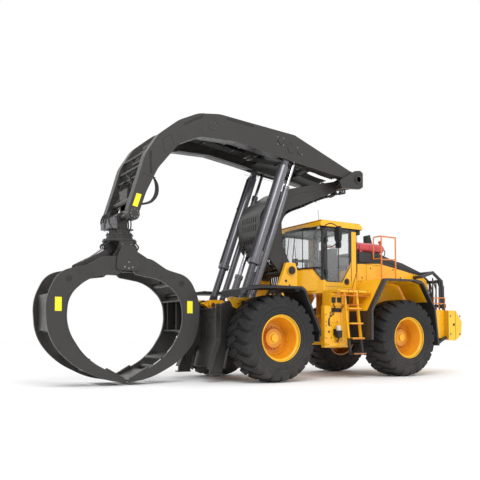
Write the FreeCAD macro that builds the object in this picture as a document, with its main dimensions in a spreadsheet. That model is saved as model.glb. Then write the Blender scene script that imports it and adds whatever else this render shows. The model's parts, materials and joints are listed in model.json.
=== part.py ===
# High-lift log loader: an articulated wheel loader whose lower arm leans back over the cab and
# carries a gooseneck boom with a hanging log grapple.
#
# Millimetres.  +X is forward, +Y is the driver's left, +Z is up, and the ground is Z = 0.
# The sizes are laid out from the articulation pin between the two frames, and every sub-part
# is moved forward or back by the same amount at the end, so that the origin is on the ground
# below the middle of the machine's box.
import FreeCAD, Part
import os
import re
import Sketcher
from FreeCAD import Placement, Rotation, Vector

doc = FreeCAD.newDocument("HighLiftLogLoader")

# ---------------------------------------------------------------- driving dimensions

SIZES = {
    "Machine": {
        "wheelbase": 3550, "track": 2278, "hub_height": 868, "fit": 0.05, "seat_gap": 0.3,
    },
    "Wheels": {
        "tyre_width": 780, "tread_half": 330, "shoulder_drop": 45, "bulge_drop": 230,
        "bead_radius": 440, "rim_half": 326, "rim_flange": 456, "rim_lip": 16, "dish_radius": 303,
        "disc_face": 16, "disc_thick": 45, "hub_radius": 190, "hub_reach": 90, "cap_radius": 78,
        "cap_reach": 136, "spindle_radius": 90, "spindle_reach": 11,
    },
    "Axles": {
        "axle_tube": 165, "axle_end": 210, "axle_end_width": 90, "diff_radius": 185,
        "diff_width": 420, "saddle_half": 150, "saddle_inner": 300, "saddle_outer": 440,
        "frame_bottom": 1060,
    },
    "Articulation": {
        "joint_pin": 60, "joint_pin_low": 690, "joint_pin_high": 1410, "ear_radius": 200,
        "ear_thick": 60, "ear_low": 710, "ear_high": 1330, "ear_gap": 10, "joint_reach": 350,
        "joint_plate": 100, "joint_half": 200, "steer_height": 950, "steer_foot_x": -680,
        "steer_foot_y": 330, "steer_eye_x": 330, "steer_eye_y": 430, "steer_barrel": 55,
        "steer_rod": 32, "steer_pin": 30, "steer_eye_radius": 58, "steer_eye_thick": 60,
        "steer_collar": 640, "steer_rod_start": 360, "steer_clear": 72, "fork_half": 62,
    },
    "Front frame": {
        "front_box_half": 420, "front_box_top": 1220, "neck_front": 1000, "nose_front": 2250,
        "nose_back": 1780, "nose_half": 700, "nose_top": 1420, "tower_inner": 455,
        "tower_outer": 535, "arm_pin": 70, "arm_pin_boss": 110, "arm_pin_half": 580,
        "lug_wall": 36,
    },
    "Lift linkage": {
        "arm_pivot_ahead": -945, "arm_pivot_height": 2330, "elbow_back": 1760, "elbow_rise": 2170,
        "tip_ahead": 5480, "tip_drop": 1330, "elbow_pin": 75, "elbow_pin_half": 800,
        "tip_pin": 60, "tip_pin_half": 735, "tip_boss": 112,
    },
    "Lift cylinders": {
        "lift_y": 610, "lift_foot_ahead": 385, "lift_foot_height": 1580, "lift_pin": 55,
        "lift_head_ahead": 1860, "lift_head_rise": 430, "lift_eye": 105, "lift_eye_thick": 90,
        "lift_rod": 75, "lift_rod_reach": 3050, "lift_collar_start": 880, "lift_collar": 118,
        "lift_collar_long": 90, "lift_barrel": 100, "lift_bore": 85, "lift_neck": 400,
        "lift_clear": 195,
    },
    "Assist cylinders": {
        "assist_foot_ahead": 155, "assist_foot_height": 1580, "assist_head_ahead": 1630,
        "assist_head_rise": 420, "assist_pin": 42, "assist_clear": 170, "assist_eye": 75,
        "assist_eye_thick": 80, "assist_barrel": 60, "assist_bore": 50, "assist_rod": 38,
        "assist_rod_start": 1500, "assist_collar": 72, "assist_collar_long": 80,
        "assist_barrel_end": 2715,
    },
    "Arm cylinders": {
        "arm_cylinder_y": 330, "arm_foot_ahead": 155, "arm_foot_height": 1350,
        "arm_head_ahead": 560, "arm_head_rise": 490, "arm_cylinder_pin": 45,
        "arm_cylinder_eye": 85, "arm_cylinder_thick": 70, "arm_barrel": 80, "arm_bore": 64,
        "arm_clear": 120, "arm_rod": 50, "arm_rod_start": 550, "arm_collar": 92,
        "arm_collar_long": 80, "arm_barrel_end": 950,
    },
    "Lower arm": {
        "arm_plate_inner": 385, "arm_plate_outer": 435, "arm_tube": 110, "arm_lug_inner": 238,
        "arm_lug_thick": 28, "fork_inner": 715, "fork_outer": 770, "fork_bridge": 62,
        "cover_slot_low": 850, "cover_slot_high": 985, "cover_slot_next": 1030,
        "cover_slot_top": 1165, "cover_slot_step": 84, "cover_slot_half": 14,
    },
    "Boom": {
        "beam_inner": 520, "beam_outer": 700, "slot_half": 55, "boom_tube": 75, "brace_tube": 38,
        "tip_tube": 60,
    },
    "Grapple": {
        "link_half": 130, "link_boss": 115, "rotator_top": 2940, "rotator_bottom": 2712,
        "rotator_cap": 205, "rotator_motor": 250, "rotator_flange": 325, "flange_thick": 45,
        "spindle": 100, "spindle_bottom": 2600, "head_half_width": 365, "head_top": 2705,
        "jaw_pin": 50, "jaw_pin_x": 190, "jaw_pin_z": 2240, "jaw_pin_half": 470,
        "jaw_plate_inner": 405, "jaw_plate_outer": 450, "jaw_bar": 55, "jaw_foot_x": 200,
        "jaw_foot_z": 2630, "jaw_head_x": 950, "jaw_head_z": 2080, "jaw_eye": 62,
        "jaw_eye_thick": 70, "jaw_barrel": 66, "jaw_cylinder_bore": 52, "jaw_rod": 38,
        "jaw_barrel_end": 640, "jaw_clear": 155, "jaw_rod_start": 430, "jaw_collar": 74,
        "jaw_cylinder_pin": 30, "jaw_lug_gap": 5, "jaw_lug_thick": 26,
    },
    "Rear frame": {
        "rail_inner": 360, "rail_outer": 450, "rail_top": 1300, "rail_back": -3150,
        "rail_front": -350, "block_back": -520, "block_low": 700, "block_high": 1400,
        "tie_inner": 640, "tie_thick": 32, "tie_lug": 62, "tie_hole": 26, "tail_back": -3430,
        "tail_half": 1080, "tail_low": 850, "tail_high": 1540, "cab_mount_long": 110,
        "cab_mount_back": -800, "cab_mount_front": -460, "weight_half": 1200,
    },
    "Cab": {
        "cab_half": 780, "cab_back": -850, "cab_low": 1850, "cab_high": 3330, "cab_wall": 50,
        "cab_side_front": 120, "cab_nose_front": 340, "cab_nose_half": 330, "floor_thick": 60,
        "roof_half": 830, "sill_height": 2150, "front_sill": 2400, "corner_sill": 2130,
        "cowl_half": 560, "door_cut_rise": 2470, "door_cut_run": 210, "window_top": 3275,
        "door_back": -700, "door_front": 55, "door_low": 2000, "door_high": 3290, "door_gap": 6,
        "door_frame": 45, "hinge_out": 26, "hinge_ahead": 60, "door_sill": 110, "glass_thick": 8,
        "rear_window_half": 560, "rear_sill": 2560, "hinge_pin": 10,
    },
    "Cab fittings": {
        "seat_x": -480, "seat_half": 260, "seat_base_top": 2180, "seat_cushion": 130,
        "seat_back_high": 2950, "seat_back_thick": 130, "column_x": -20, "column_top": 2640,
        "column_radius": 45, "wheel_radius": 190, "wheel_rim": 16, "mirror_x": 150,
        "mirror_y": 1370, "mirror_z": 3120, "mirror_wide": 190, "mirror_tall": 420,
        "mirror_deep": 60, "mirror_arm": 14,
    },
    "Engine end": {
        "hood_half": 735, "hood_wall": 25, "hood_top_half": 700, "engine_back": -2850,
        "engine_front": -1450, "engine_half": 350, "engine_top": 2150, "bottle_x": -1285,
        "bottle_y": 600, "bottle_radius": 105, "bottle_long": 690, "bottle_rest": 20,
        "guard_tube": 38, "grille_tube": 26, "guard_half": 980,
    },
    "Platforms": {
        "platform_back": -790, "platform_front": 150, "platform_inner": 790,
        "platform_outer": 1300, "platform_top": 1900, "platform_thick": 50, "locker_back": -350,
        "locker_front": 160, "locker_outer": 1080, "locker_low": 1560, "panel_back": -380,
        "panel_front": 320, "panel_inner": 940, "panel_outer": 1050, "panel_low": 660,
        "panel_web_back": -380, "panel_web_front": -60, "ladder_inner": 1240,
        "ladder_outer": 1290, "ladder_top_x": -20, "ladder_foot_x": -190, "ladder_wide": 350,
        "ladder_low": 500, "rung_thick": 34, "rung_outer": 1400, "rung_step": 320, "stile": 46,
        "rail_tube": 17,
    },
    "Fenders": {
        "front_fender_inner": 790, "front_fender_outer": 1515, "rear_fender_inner": 785,
        "rear_fender_outer": 1520,
    },
}

# Outlines are drawn in the XZ plane from an anchor: each corner is named and holds how far it
# lies ahead of the anchor, how far above it, and the radius that rounds it (0 keeps it sharp).
FRONT_AXLE = "wheelbase / 2"
REAR_AXLE = "-wheelbase / 2"
ARM_PIVOT = ("wheelbase / 2 + arm_pivot_ahead", "arm_pivot_height")
ELBOW = (ARM_PIVOT[0] + " - elbow_back", "arm_pivot_height + elbow_rise")
TIP = (ELBOW[0] + " + tip_ahead", ELBOW[1] + " - tip_drop")
LIFT_FOOT = ("wheelbase / 2 + lift_foot_ahead", "lift_foot_height")
LIFT_HEAD = (ELBOW[0] + " + lift_head_ahead", ELBOW[1] + " + lift_head_rise")
ASSIST_FOOT = ("wheelbase / 2 + assist_foot_ahead", "assist_foot_height")
ASSIST_HEAD = (ELBOW[0] + " + assist_head_ahead", ELBOW[1] + " + assist_head_rise")
ARM_FOOT = ("wheelbase / 2 + arm_foot_ahead", "arm_foot_height")
ARM_HEAD = (ARM_PIVOT[0] + " + arm_head_ahead", "arm_pivot_height + arm_head_rise")

OUTLINES = {
    "tower": (ARM_PIVOT, [
        ("heel", -150, -1270, 0), ("back", -185, 0, 60), ("back_top", -130, 170, 40),
        ("front_top", 120, 170, 40), ("front", 180, 0, 0), ("knee", 360, -430, 150),
        ("shin", 640, -800, 0), ("toe", 930, -1270, 0)]),
    "arm": (ARM_PIVOT, [
        ("heel", -170, -60, 60), ("calf", 150, 560, 300), ("waist", 170, 1060, 120),
        ("pit", 40, 1320, 200), ("belly", -1500, 1955, 0), ("elbow_low", -1800, 2010, 60),
        ("elbow_back", -1930, 2120, 60), ("elbow_high", -1880, 2310, 90),
        ("elbow_front", -1660, 2330, 60), ("nape", -1340, 2140, 300), ("crown", 10, 1800, 250),
        ("brow", 480, 1500, 300), ("cheek", 735, 1180, 300), ("jowl", 735, 780, 300),
        ("lip", 680, 480, 60), ("chin", 545, 300, 60), ("throat", 200, -60, 0),
        ("base", 60, -170, 80), ("base_back", -100, -170, 70)]),
    "arm_cover": (ARM_PIVOT, [
        ("start", -1150, 2088, 0), ("crown", 10, 1796, 250), ("brow", 478, 1496, 300),
        ("cheek", 731, 1178, 300), ("jowl", 731, 781, 300), ("end", 690, 560, 0),
        ("end_in", 662, 566, 0), ("jowl_in", 699, 783, 270), ("cheek_in", 699, 1168, 270),
        ("brow_in", 456, 1473, 270), ("crown_in", 0, 1764, 220), ("start_in", -1158, 2056, 0)]),
    "arm_belly": (ARM_PIVOT, [
        ("rear", -1450, 1938, 0), ("front", -300, 1463, 0), ("front_in", -288, 1492, 0),
        ("rear_in", -1438, 1967, 0)]),
    "arm_apron": (ARM_PIVOT, [
        ("start", 692, 580, 0), ("lip", 676, 482, 60), ("chin", 541, 303, 60),
        ("end", 262, 8, 0), ("end_in", 241, 30, 0), ("chin_in", 518, 322, 60),
        ("lip_in", 648, 494, 60), ("start_in", 663, 585, 0)]),
    "beam": (ELBOW, [
        ("tail_low", -110, -130, 60), ("heel", 60, -170, 60), ("under_a", 420, 5, 300),
        ("under_b", 1660, 146, 0), ("under_c", 2440, 270, 0), ("under_d", 3260, 373, 0),
        ("under_e", 4080, 345, 500), ("under_f", 4560, 120, 500), ("under_g", 5000, -420, 700),
        ("under_h", 5235, -900, 400), ("tip_in", 5365, -1270, 60), ("tip_low", 5400, -1440, 60),
        ("tip_out", 5570, -1440, 60), ("nose", 5585, -1230, 60), ("neck_a", 5400, -650, 0),
        ("neck_b", 5260, -180, 500), ("neck_c", 4990, 240, 500), ("crown_a", 4560, 590, 600),
        ("crown_b", 4130, 800, 500), ("crown_c", 3640, 872, 700), ("back_a", 2820, 821, 0),
        ("hump", 1762, 758, 60), ("back_b", 190, 190, 0), ("tail_high", -60, 130, 60),
        ("tail", -150, 20, 60)]),
    "slot": (ELBOW, [
        ("low_back", 1400, -60, 0), ("high_back", 1400, 540, 0), ("rise", 1720, 640, 0),
        ("high_front", 2165, 640, 0), ("low_front", 2165, -60, 0)]),
    "top_plate": (ELBOW, [
        ("rear", 1790, 715, 0), ("middle", 2820, 778, 0), ("front", 3600, 828, 0),
        ("nose", 4060, 765, 0), ("nose_low", 4050, 735, 0), ("front_low", 3598, 797, 0),
        ("middle_low", 2822, 748, 0), ("rear_low", 1792, 685, 0)]),
    "arm_boss": (ARM_PIVOT, [
        ("low", 470, 400, 0), ("front", 640, 400, 0), ("high", 700, 730, 0),
        ("back", 590, 730, 0)]),
    "jaw_lug": ((TIP[0], "0"), [
        ("low", 870, 1900, 0), ("low_front", 1000, 1900, 0), ("front", 1020, 2080, 50),
        ("high", 950, 2160, 50), ("back", 880, 2080, 50)]),
    "fork": (ELBOW, [
        ("bridge_low", 470, -260, 60), ("low", -60, -215, 50), ("back_low", -152, -160, 40),
        ("back_high", -152, 175, 40), ("high", -60, 215, 50), ("front", 90, 190, 110),
        ("bridge_high", 560, -90, 60)]),
    "lift_lug": (LIFT_FOOT, [
        ("heel", -330, -165, 0), ("back", -330, 40, 60), ("top_back", -250, 115, 80),
        ("top_front", 60, 118, 90), ("front", 110, 0, 60), ("toe", 85, -165, 0)]),
    "arm_lug": (ARM_FOOT, [
        ("heel", -140, -135, 0), ("back", -75, 75, 50), ("front", 75, 75, 50),
        ("toe", 140, -135, 0)]),
    "guard_web": ((FRONT_AXLE, "frame_bottom"), [
        ("heel", 475.3, -180, 0), ("notch", 475.3, 330, 0), ("notch_in", 530, 345, 0),
        ("top_back", 530, 640, 0), ("top_front", 930, 480, 60),
        ("shin", 935, -280, 300), ("foot_high", 1150, -800, 0), ("foot_front", 1160, -905, 0),
        ("foot_back", 880, -905, 0), ("calf", 790, -420, 300)]),
    "guard_plate": ((FRONT_AXLE, "frame_bottom"), [
        ("top", 640, 440, 0), ("middle", 640, -200, 400), ("low", 800, -790, 0),
        ("low_in", 765, -800, 0), ("middle_in", 605, -205, 400), ("top_in", 605, 440, 0)]),
    "guard_flange": ((FRONT_AXLE, "frame_bottom"), [
        ("top_in", 930, 480, 0), ("top_out", 958, 480, 0), ("shin_out", 963, -272, 300),
        ("foot_out", 1178, -790, 0), ("foot_in", 1150, -800, 0), ("shin_in", 935, -280, 300)]),
    "jaw": ((TIP[0], "0"), [
        ("tip", 5, 40, 0), ("sole", 480, 115, 1500), ("heel", 1090, 420, 1400),
        ("back_low", 1480, 880, 900), ("back_high", 1535, 1580, 900),
        ("shoulder", 1290, 2080, 450), ("collar", 800, 2195, 500), ("neck", 480, 2380, 300),
        ("boss_top", 190, 2400, 120), ("boss_side", 30, 2240, 120), ("armpit", 150, 2070, 100),
        ("palm_high", 740, 1985, 800), ("palm_back", 1120, 1640, 550),
        ("palm_low", 1165, 1080, 850), ("finger", 800, 505, 1200), ("nail", 40, 95, 0)]),
    "head": ((TIP[0], "0"), [
        ("low_back", -200, 2110, 60), ("skirt_back", -275, 2270, 60),
        ("hip_back", -255, 2430, 80), ("neck_back", -140, 2590, 80), ("top_back", -140, 2705, 0),
        ("top_front", 140, 2705, 0), ("neck_front", 140, 2590, 80), ("hip_front", 255, 2430, 80),
        ("skirt_front", 275, 2270, 60), ("low_front", 200, 2110, 60)]),
    "hood": ((REAR_AXLE, "frame_bottom"), [
        ("base_front", 875, 240, 0), ("front", 875, 1495, 40), ("break", 175, 1540, 0),
        ("slope", -1340, 1300, 120), ("back", -1480, 1130, 120), ("base_back", -1480, 480.3, 0),
        ("step", -1374.7, 480.3, 0), ("skirt", -1374.7, 240, 0)]),
    "hood_void": ((REAR_AXLE, "frame_bottom"), [
        ("base_front", 850, 140, 0), ("front", 850, 1470, 0), ("break", 172, 1514, 0),
        ("slope", -1328, 1277, 100), ("back", -1455, 1120, 100), ("base_back", -1455, 470, 0),
        ("step", -1350, 470, 0), ("skirt", -1350, 140, 0)]),
    "hood_top": ((REAR_AXLE, "frame_bottom"), [
        ("low_front", 830, 1498.2, 0), ("high_front", 830, 1790, 60), ("crest", 160, 1790, 200),
        ("slope", -1180, 1400, 150), ("tail", -1300, 1306.7, 0), ("break", 175, 1540.3, 0)]),
    "weight": (("tail_back", "0"), [
        ("low_front", 0, 810, 30), ("high_front", 0, 1526, 0), ("high_back", -280, 1526, 30),
        ("back_high", -500, 1260, 30), ("back_low", -478, 935, 30), ("low_back", -270, 792, 30)]),
    "roof": (("0", "cab_high"), [
        ("back_low", -990, 0.3, 0), ("back", -990, 70, 20), ("back_top", -900, 118, 60),
        ("front_top", 150, 130, 60), ("front", 230, 95, 20), ("front_low", 230, 0.3, 0)]),
    "front_fender": ((FRONT_AXLE, "hub_height"), [
        ("front_low", 955, 815, 0), ("front", 955, 945, 30), ("brow", 500, 1018, 60),
        ("crest", -500, 1040, 60), ("shoulder", -590, 985, 60), ("hem", -1000, 128, 0),
        ("hem_in", -955, 110, 0), ("shoulder_in", -555, 948, 50), ("crest_in", -478, 995, 50),
        ("brow_in", 490, 974, 50), ("front_in", 915, 905, 20), ("front_low_in", 915, 815, 0)]),
    "rear_fender": ((REAR_AXLE, "hub_height"), [
        ("skirt_low", 1180, -40, 0), ("skirt", 1180, 610, 0), ("shoulder", 740, 1310, 60),
        ("crest", -180, 1322, 60), ("nape", -460, 1262, 60), ("back", -850, 690, 90),
        ("hem", -960, -140, 0), ("hem_in", -918, -140, 0), ("back_in", -808, 676, 80),
        ("nape_in", -430, 1222, 50), ("crest_in", -165, 1282, 50),
        ("shoulder_in", 700, 1262, 50), ("skirt_in", 1120, 596, 0),
        ("skirt_low_in", 1120, -40, 0)]),
}


def fill_sheet():
    table = doc.addObject("Spreadsheet::Sheet", "Sizes")
    row = 1

    def put(alias, value):
        nonlocal row
        table.set("A%d" % row, alias)
        table.set("B%d" % row, str(value))
        table.setAlias("B%d" % row, alias)
        row += 1

    for title, group in SIZES.items():
        table.set("A%d" % row, title)
        row += 1
        for alias, value in group.items():
            put(alias, value)
    for name, (_, corners) in OUTLINES.items():
        table.set("A%d" % row, "Outline of " + name)
        row += 1
        for word, ahead, above, rounding in corners:
            put("%s_%s_ahead" % (name, word), ahead)
            put("%s_%s_above" % (name, word), above)
            if rounding:
                put("%s_%s_round" % (name, word), rounding)
    doc.recompute()
    return table


sizes = fill_sheet()
WORD = re.compile(r"[a-z]\w*")


def bound(text):
    """An expression over the sheet's aliases, as the document reads it."""
    return WORD.sub(lambda found: "Sizes." + found.group(0), str(text))


def amount(text):
    """The number that an expression over the sheet gives now."""
    return float(sizes.evalExpression(bound(text)))


# ---------------------------------------------------------------- building blocks

made = {}


def fresh(name):
    made[name] = made.get(name, 0) + 1
    return "%s_%d" % (name, made[name])


def origin_plane(body, role):
    return next(item for item in body.Origin.OriginFeatures if item.Role == role)


PLANES = {"XZ": "XZ_Plane", "YZ": "YZ_Plane", "XY": "XY_Plane"}


def new_sketch(body, plane, offset):
    """A sketch on one of the body's own planes; offset is measured along +Y, +X or +Z."""
    sketch = body.newObject("Sketcher::SketchObject", fresh("Sketch"))
    sketch.AttachmentSupport = (origin_plane(body, PLANES[plane]), [""])
    sketch.MapMode = "FlatFace"
    sign = "-" if plane == "XZ" else ""
    sketch.setExpression("AttachmentOffset.Base.z", bound("%s(%s)" % (sign, offset)))
    return sketch


def hold(sketch, kind, geometry, point, value, text):
    """Hold one coordinate of a sketch point to an expression."""
    if abs(value) < 1e-6:
        line = -2 if kind == "DistanceX" else -1
        sketch.addConstraint(Sketcher.Constraint("PointOnObject", geometry, point, line))
        return
    index = sketch.addConstraint(Sketcher.Constraint(kind, -1, 1, geometry, point, value))
    sketch.setExpression("Constraints[%d]" % index, bound(text))


def draw_polygon(sketch, corners):
    points = [Vector(amount(across), amount(up), 0) for across, up in corners]
    count = len(points)
    for index in range(count):
        sketch.addGeometry(Part.LineSegment(points[index], points[(index + 1) % count]))
    for index in range(count):
        sketch.addConstraint(Sketcher.Constraint("Coincident", index, 2, (index + 1) % count, 1))
    for index, (across, up) in enumerate(corners):
        hold(sketch, "DistanceX", index, 1, points[index].x, across)
        hold(sketch, "DistanceY", index, 1, points[index].y, up)
    return points


def edges_at(shape, plane, point, depth):
    """The names of the straight edges that run across the plane's depth at a corner."""
    keep = {"XZ": (0, 2), "YZ": (1, 2), "XY": (0, 1)}[plane]
    found = []
    for number, edge in enumerate(shape.Edges, 1):
        if len(edge.Vertexes) != 2 or abs(edge.Length - depth) > 0.01:
            continue
        ends = [tuple(vertex.Point) for vertex in edge.Vertexes]
        if all(abs(end[keep[0]] - point.x) + abs(end[keep[1]] - point.y) < 0.01 for end in ends):
            found.append("Edge%d" % number)
    return found


def prism(plane, corners, low, high, rounds=None, name="Plate"):
    """A body padded from a polygon between two places along the plane's normal.
    rounds maps a corner's number to the expression of its radius."""
    body = doc.addObject("PartDesign::Body", fresh(name))
    start = high if plane == "XZ" else low
    sketch = new_sketch(body, plane, start)
    points = draw_polygon(sketch, corners)
    pad = body.newObject("PartDesign::Pad", fresh("Pad"))
    pad.Profile = sketch
    pad.setExpression("Length", bound("(%s) - (%s)" % (high, low)))
    doc.recompute()
    depth = amount("(%s) - (%s)" % (high, low))
    base = pad
    for index, radius in (rounds or {}).items():
        edges = edges_at(base.Shape, plane, points[index], depth)
        fillet = body.newObject("PartDesign::Fillet", fresh("Fillet"))
        fillet.Base = (base, edges)
        fillet.setExpression("Radius", bound(radius))
        doc.recompute()
        if not edges or "Invalid" in fillet.State:
            raise RuntimeError("corner %d of %s can't be rounded" % (index, body.Name))
        base = fillet
    return body


def outline_corners(name, mirror=False):
    anchor, corners = OUTLINES[name]
    sign = "-" if mirror else "+"
    listed = []
    for word, _, _, _ in corners:
        ahead = "%s %s %s_%s_ahead" % (anchor[0], sign, name, word)
        above = "%s + %s_%s_above" % (anchor[1], name, word)
        listed.append((ahead, above))
    return listed


def outline_rounds(name):
    _, corners = OUTLINES[name]
    return {index: "%s_%s_round" % (name, word)
            for index, (word, _, _, rounding) in enumerate(corners) if rounding}


def shaped(name, low, high):
    """The named side outline, padded across the machine from low to high."""
    return prism("XZ", outline_corners(name), low, high, outline_rounds(name), name)


def block(x_low, x_high, y_low, y_high, z_low, z_high):
    box = doc.addObject("Part::Box", fresh("Block"))
    box.setExpression("Length", bound("(%s) - (%s)" % (x_high, x_low)))
    box.setExpression("Width", bound("(%s) - (%s)" % (y_high, y_low)))
    box.setExpression("Height", bound("(%s) - (%s)" % (z_high, z_low)))
    for axis, low in (("x", x_low), ("y", y_low), ("z", z_low)):
        box.setExpression("Placement.Base." + axis, bound(low))
    return box


TURNS = {
    "X": Rotation(Vector(0, 1, 0), 90),
    "Y": Rotation(Vector(1, 0, 0), -90),
    "Z": Rotation(),
}


def cylinder(axis, start, radius, length):
    """A round bar from a starting point along +X, +Y or +Z."""
    bar = doc.addObject("Part::Cylinder", fresh("Bar"))
    bar.Placement = Placement(Vector(), TURNS[axis])
    bar.setExpression("Radius", bound(radius))
    bar.setExpression("Height", bound(length))
    for letter, place in zip("xyz", start):
        bar.setExpression("Placement.Base." + letter, bound(place))
    return bar


def across(place, radius, low, high):
    """A round bar along Y between two places, at a point of the XZ plane."""
    return cylinder("Y", (place[0], low, place[1]), radius, "(%s) - (%s)" % (high, low))


def fused(label, parts):
    joint = doc.addObject("Part::MultiFuse", fresh("Fusion"))
    joint.Shapes = parts
    joint.Label = label
    return joint


def cut(label, base, tools):
    tool = tools[0] if len(tools) == 1 else fused(fresh("Cutters"), tools)
    result = doc.addObject("Part::Cut", fresh("Cut"))
    result.Base = base
    result.Tool = tool
    result.Label = label
    return result


def grouped(label, parts):
    """Pieces that don't touch, kept in one node."""
    group = doc.addObject("Part::Compound", fresh("Group"))
    group.Links = parts
    group.Label = label
    return group


def mirrored(part):
    """The same piece on the machine's other side."""
    twin = doc.addObject("Part::Mirroring", fresh("Mirror"))
    twin.Source = part
    twin.Normal = Vector(0, 1, 0)
    return twin


def both(part):
    return [part, mirrored(part)]


def revolved(profile, name):
    """A body turned about local Z; profile holds radius and height pairs."""
    body = doc.addObject("PartDesign::Body", fresh(name))
    sketch = new_sketch(body, "XZ", "0")
    draw_polygon(sketch, profile)
    turn = body.newObject("PartDesign::Revolution", fresh("Turn"))
    turn.Profile = sketch
    turn.ReferenceAxis = (sketch, ["V_Axis"])
    turn.Angle = 360
    doc.recompute()
    return body


def bars(label, runs, radius):
    """Straight round tubes between listed points, with a slightly fuller ball at every corner."""
    size = amount(radius)
    pieces = []
    for run in runs:
        points = [Vector(*[amount(value) for value in point]) for point in run]
        for start, end in zip(points, points[1:]):
            pieces.append(Part.makeCylinder(size, start.distanceToPoint(end), start, end - start))
        for corner in points[1:-1]:
            pieces.append(Part.makeSphere(size + 2, corner))
    shape = pieces[0].multiFuse(pieces[1:]) if len(pieces) > 1 else pieces[0]
    feature = doc.addObject("Part::Feature", fresh("Tubes"))
    feature.Shape = shape.removeSplitter()
    feature.Label = label
    return feature


def along(foot, head):
    """The turn about Y that points local Z from one pin to another, and their distance."""
    run = Vector(amount(head[0]) - amount(foot[0]), 0, amount(head[1]) - amount(foot[1]))
    return Rotation(Vector(0, 0, 1), run), run.Length


def stand(part, foot, head, y_place):
    """Place a piece built along local Z on the line between two pins."""
    turn, _ = along(foot, head)
    part.Placement = Placement(Vector(amount(foot[0]), amount(y_place), amount(foot[1])), turn)
    return part


def pair(label, part, foot, head, y_place):
    """Both sides' copies of a hydraulic piece, as one node."""
    holder = fused(fresh(label), [part]) if part.TypeId == "PartDesign::Body" else part
    stand(holder, foot, head, y_place)
    return grouped(label, both(holder))


def eye(place, radius, thick):
    """A round eye on local Y at a height of local Z."""
    return cylinder("Y", ("0", "-(%s) / 2" % thick, place), radius, thick)


nodes = []


def node(part, label):
    """Register a finished sub-part; a bare primitive is wrapped, so that it can be moved."""
    if part.TypeId in ("Part::Box", "Part::Cylinder"):
        part = grouped(label, [part])
    part.Label = label
    nodes.append(part)
    return part


# ---------------------------------------------------------------- wheels

def wheel_tyre():
    half = [
        ("bead_radius", "rim_half - rim_lip - 2"), ("rim_flange + 4", "rim_half - rim_lip - 2"),
        ("rim_flange + 20", "tyre_width / 2 - shoulder_drop"),
        ("hub_height - bulge_drop", "tyre_width / 2"),
        ("hub_height - shoulder_drop", "tyre_width / 2 - 10"), ("hub_height", "tread_half")]
    other = [(radius, "-(%s)" % place) for radius, place in reversed(half)]
    return revolved(half + other, "Tyre")


def wheel_rim():
    profile = [
        ("0", "cap_reach"), ("cap_radius", "cap_reach"), ("cap_radius", "hub_reach"),
        ("hub_radius", "hub_reach"), ("hub_radius", "disc_face"),
        ("dish_radius", "disc_face"), ("bead_radius - 30", "rim_half - 20"),
        ("bead_radius - 10", "rim_half"), ("rim_flange", "rim_half"),
        ("rim_flange", "rim_half - rim_lip"), ("bead_radius", "rim_half - rim_lip"),
        ("bead_radius", "rim_lip - rim_half"), ("rim_flange", "rim_lip - rim_half"),
        ("rim_flange", "-rim_half"), ("bead_radius - 20", "-rim_half"),
        ("bead_radius - 40", "disc_face - disc_thick"),
        ("spindle_radius + fit", "disc_face - disc_thick"), ("spindle_radius + fit", "disc_face"),
        ("0", "disc_face")]
    return revolved(profile, "Rim")


def place_wheel(part, ahead, side):
    turn = Rotation(Vector(1, 0, 0), -90 if side > 0 else 90)
    spot = Vector(amount(ahead), side * amount("track / 2"), amount("hub_height"))
    part.Placement = Placement(spot, turn)
    return part


for end, ahead in (("front", FRONT_AXLE), ("rear", REAR_AXLE)):
    for side, sign in (("left", 1), ("right", -1)):
        node(place_wheel(wheel_tyre(), ahead, sign), "tyre_%s_%s" % (end, side))
        node(place_wheel(wheel_rim(), ahead, sign), "rim_%s_%s" % (end, side))


def axle(ahead, nose, label):
    """A rigid axle with its drive head; nose is the side its pinion faces."""
    end = "track / 2 + disc_face - disc_thick - 10"
    centre = (ahead, "hub_height")
    tube = across(centre, "axle_tube", "-(%s)" % end, end)
    head = across(centre, "diff_radius", "-diff_width / 2", "diff_width / 2")
    pinion_start = ahead if nose > 0 else "%s - 380" % ahead
    pinion = cylinder("X", (pinion_start, "0", "hub_height"), 95, 380)
    reach = "track / 2 + spindle_reach"
    spindle = across(centre, "spindle_radius", "-(%s)" % reach, reach)
    parts = [tube, head, pinion, spindle]
    parts += both(across(centre, "axle_end", "%s - axle_end_width" % end, end))
    saddle = block("%s - saddle_half" % ahead, "%s + saddle_half" % ahead,
                   "saddle_inner", "saddle_outer", "hub_height", "frame_bottom")
    return node(fused(label, parts + both(saddle)), label)


axle(FRONT_AXLE, -1, "front_axle")
axle(REAR_AXLE, 1, "rear_axle")


# ---------------------------------------------------------------- articulation and frames

def ear(low, sign):
    """A round-ended plate of the centre joint, reaching back (-1) or forward (1) from it."""
    disc = cylinder("Z", ("0", "0", low), "ear_radius", "ear_thick")
    edge = ("0", "joint_reach + 20") if sign > 0 else ("-joint_reach - 20", "0")
    neck = block(edge[0], edge[1], "-ear_radius", "ear_radius", low, "%s + ear_thick" % low)
    return [disc, neck]


def steer_fork(x_place, y_place, web_side):
    """Two round-ended plates above and below a steering pin, joined by a web fore or aft of it."""
    x_low, x_high = x_place, "%s + 170" % x_place
    web = ("%s + 120" % x_place, x_high)
    if web_side < 0:
        x_low, x_high = "%s - 130" % x_place, x_place
        web = (x_low, "%s - 80" % x_place)
    y_low, y_high = "%s - fork_half" % y_place, "%s + fork_half" % y_place
    pieces = [block(web[0], web[1], y_low, y_high, "steer_height - 88", "frame_bottom + 30")]
    for low, high in (("steer_height + 38", "frame_bottom + 30"),
                      ("steer_height - 88", "steer_height - 38")):
        pieces.append(block(x_low, x_high, y_low, y_high, low, high))
        pieces.append(cylinder("Z", (x_place, y_place, low), "fork_half",
                               "%s - (%s)" % (high, low)))
    return pieces


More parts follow.
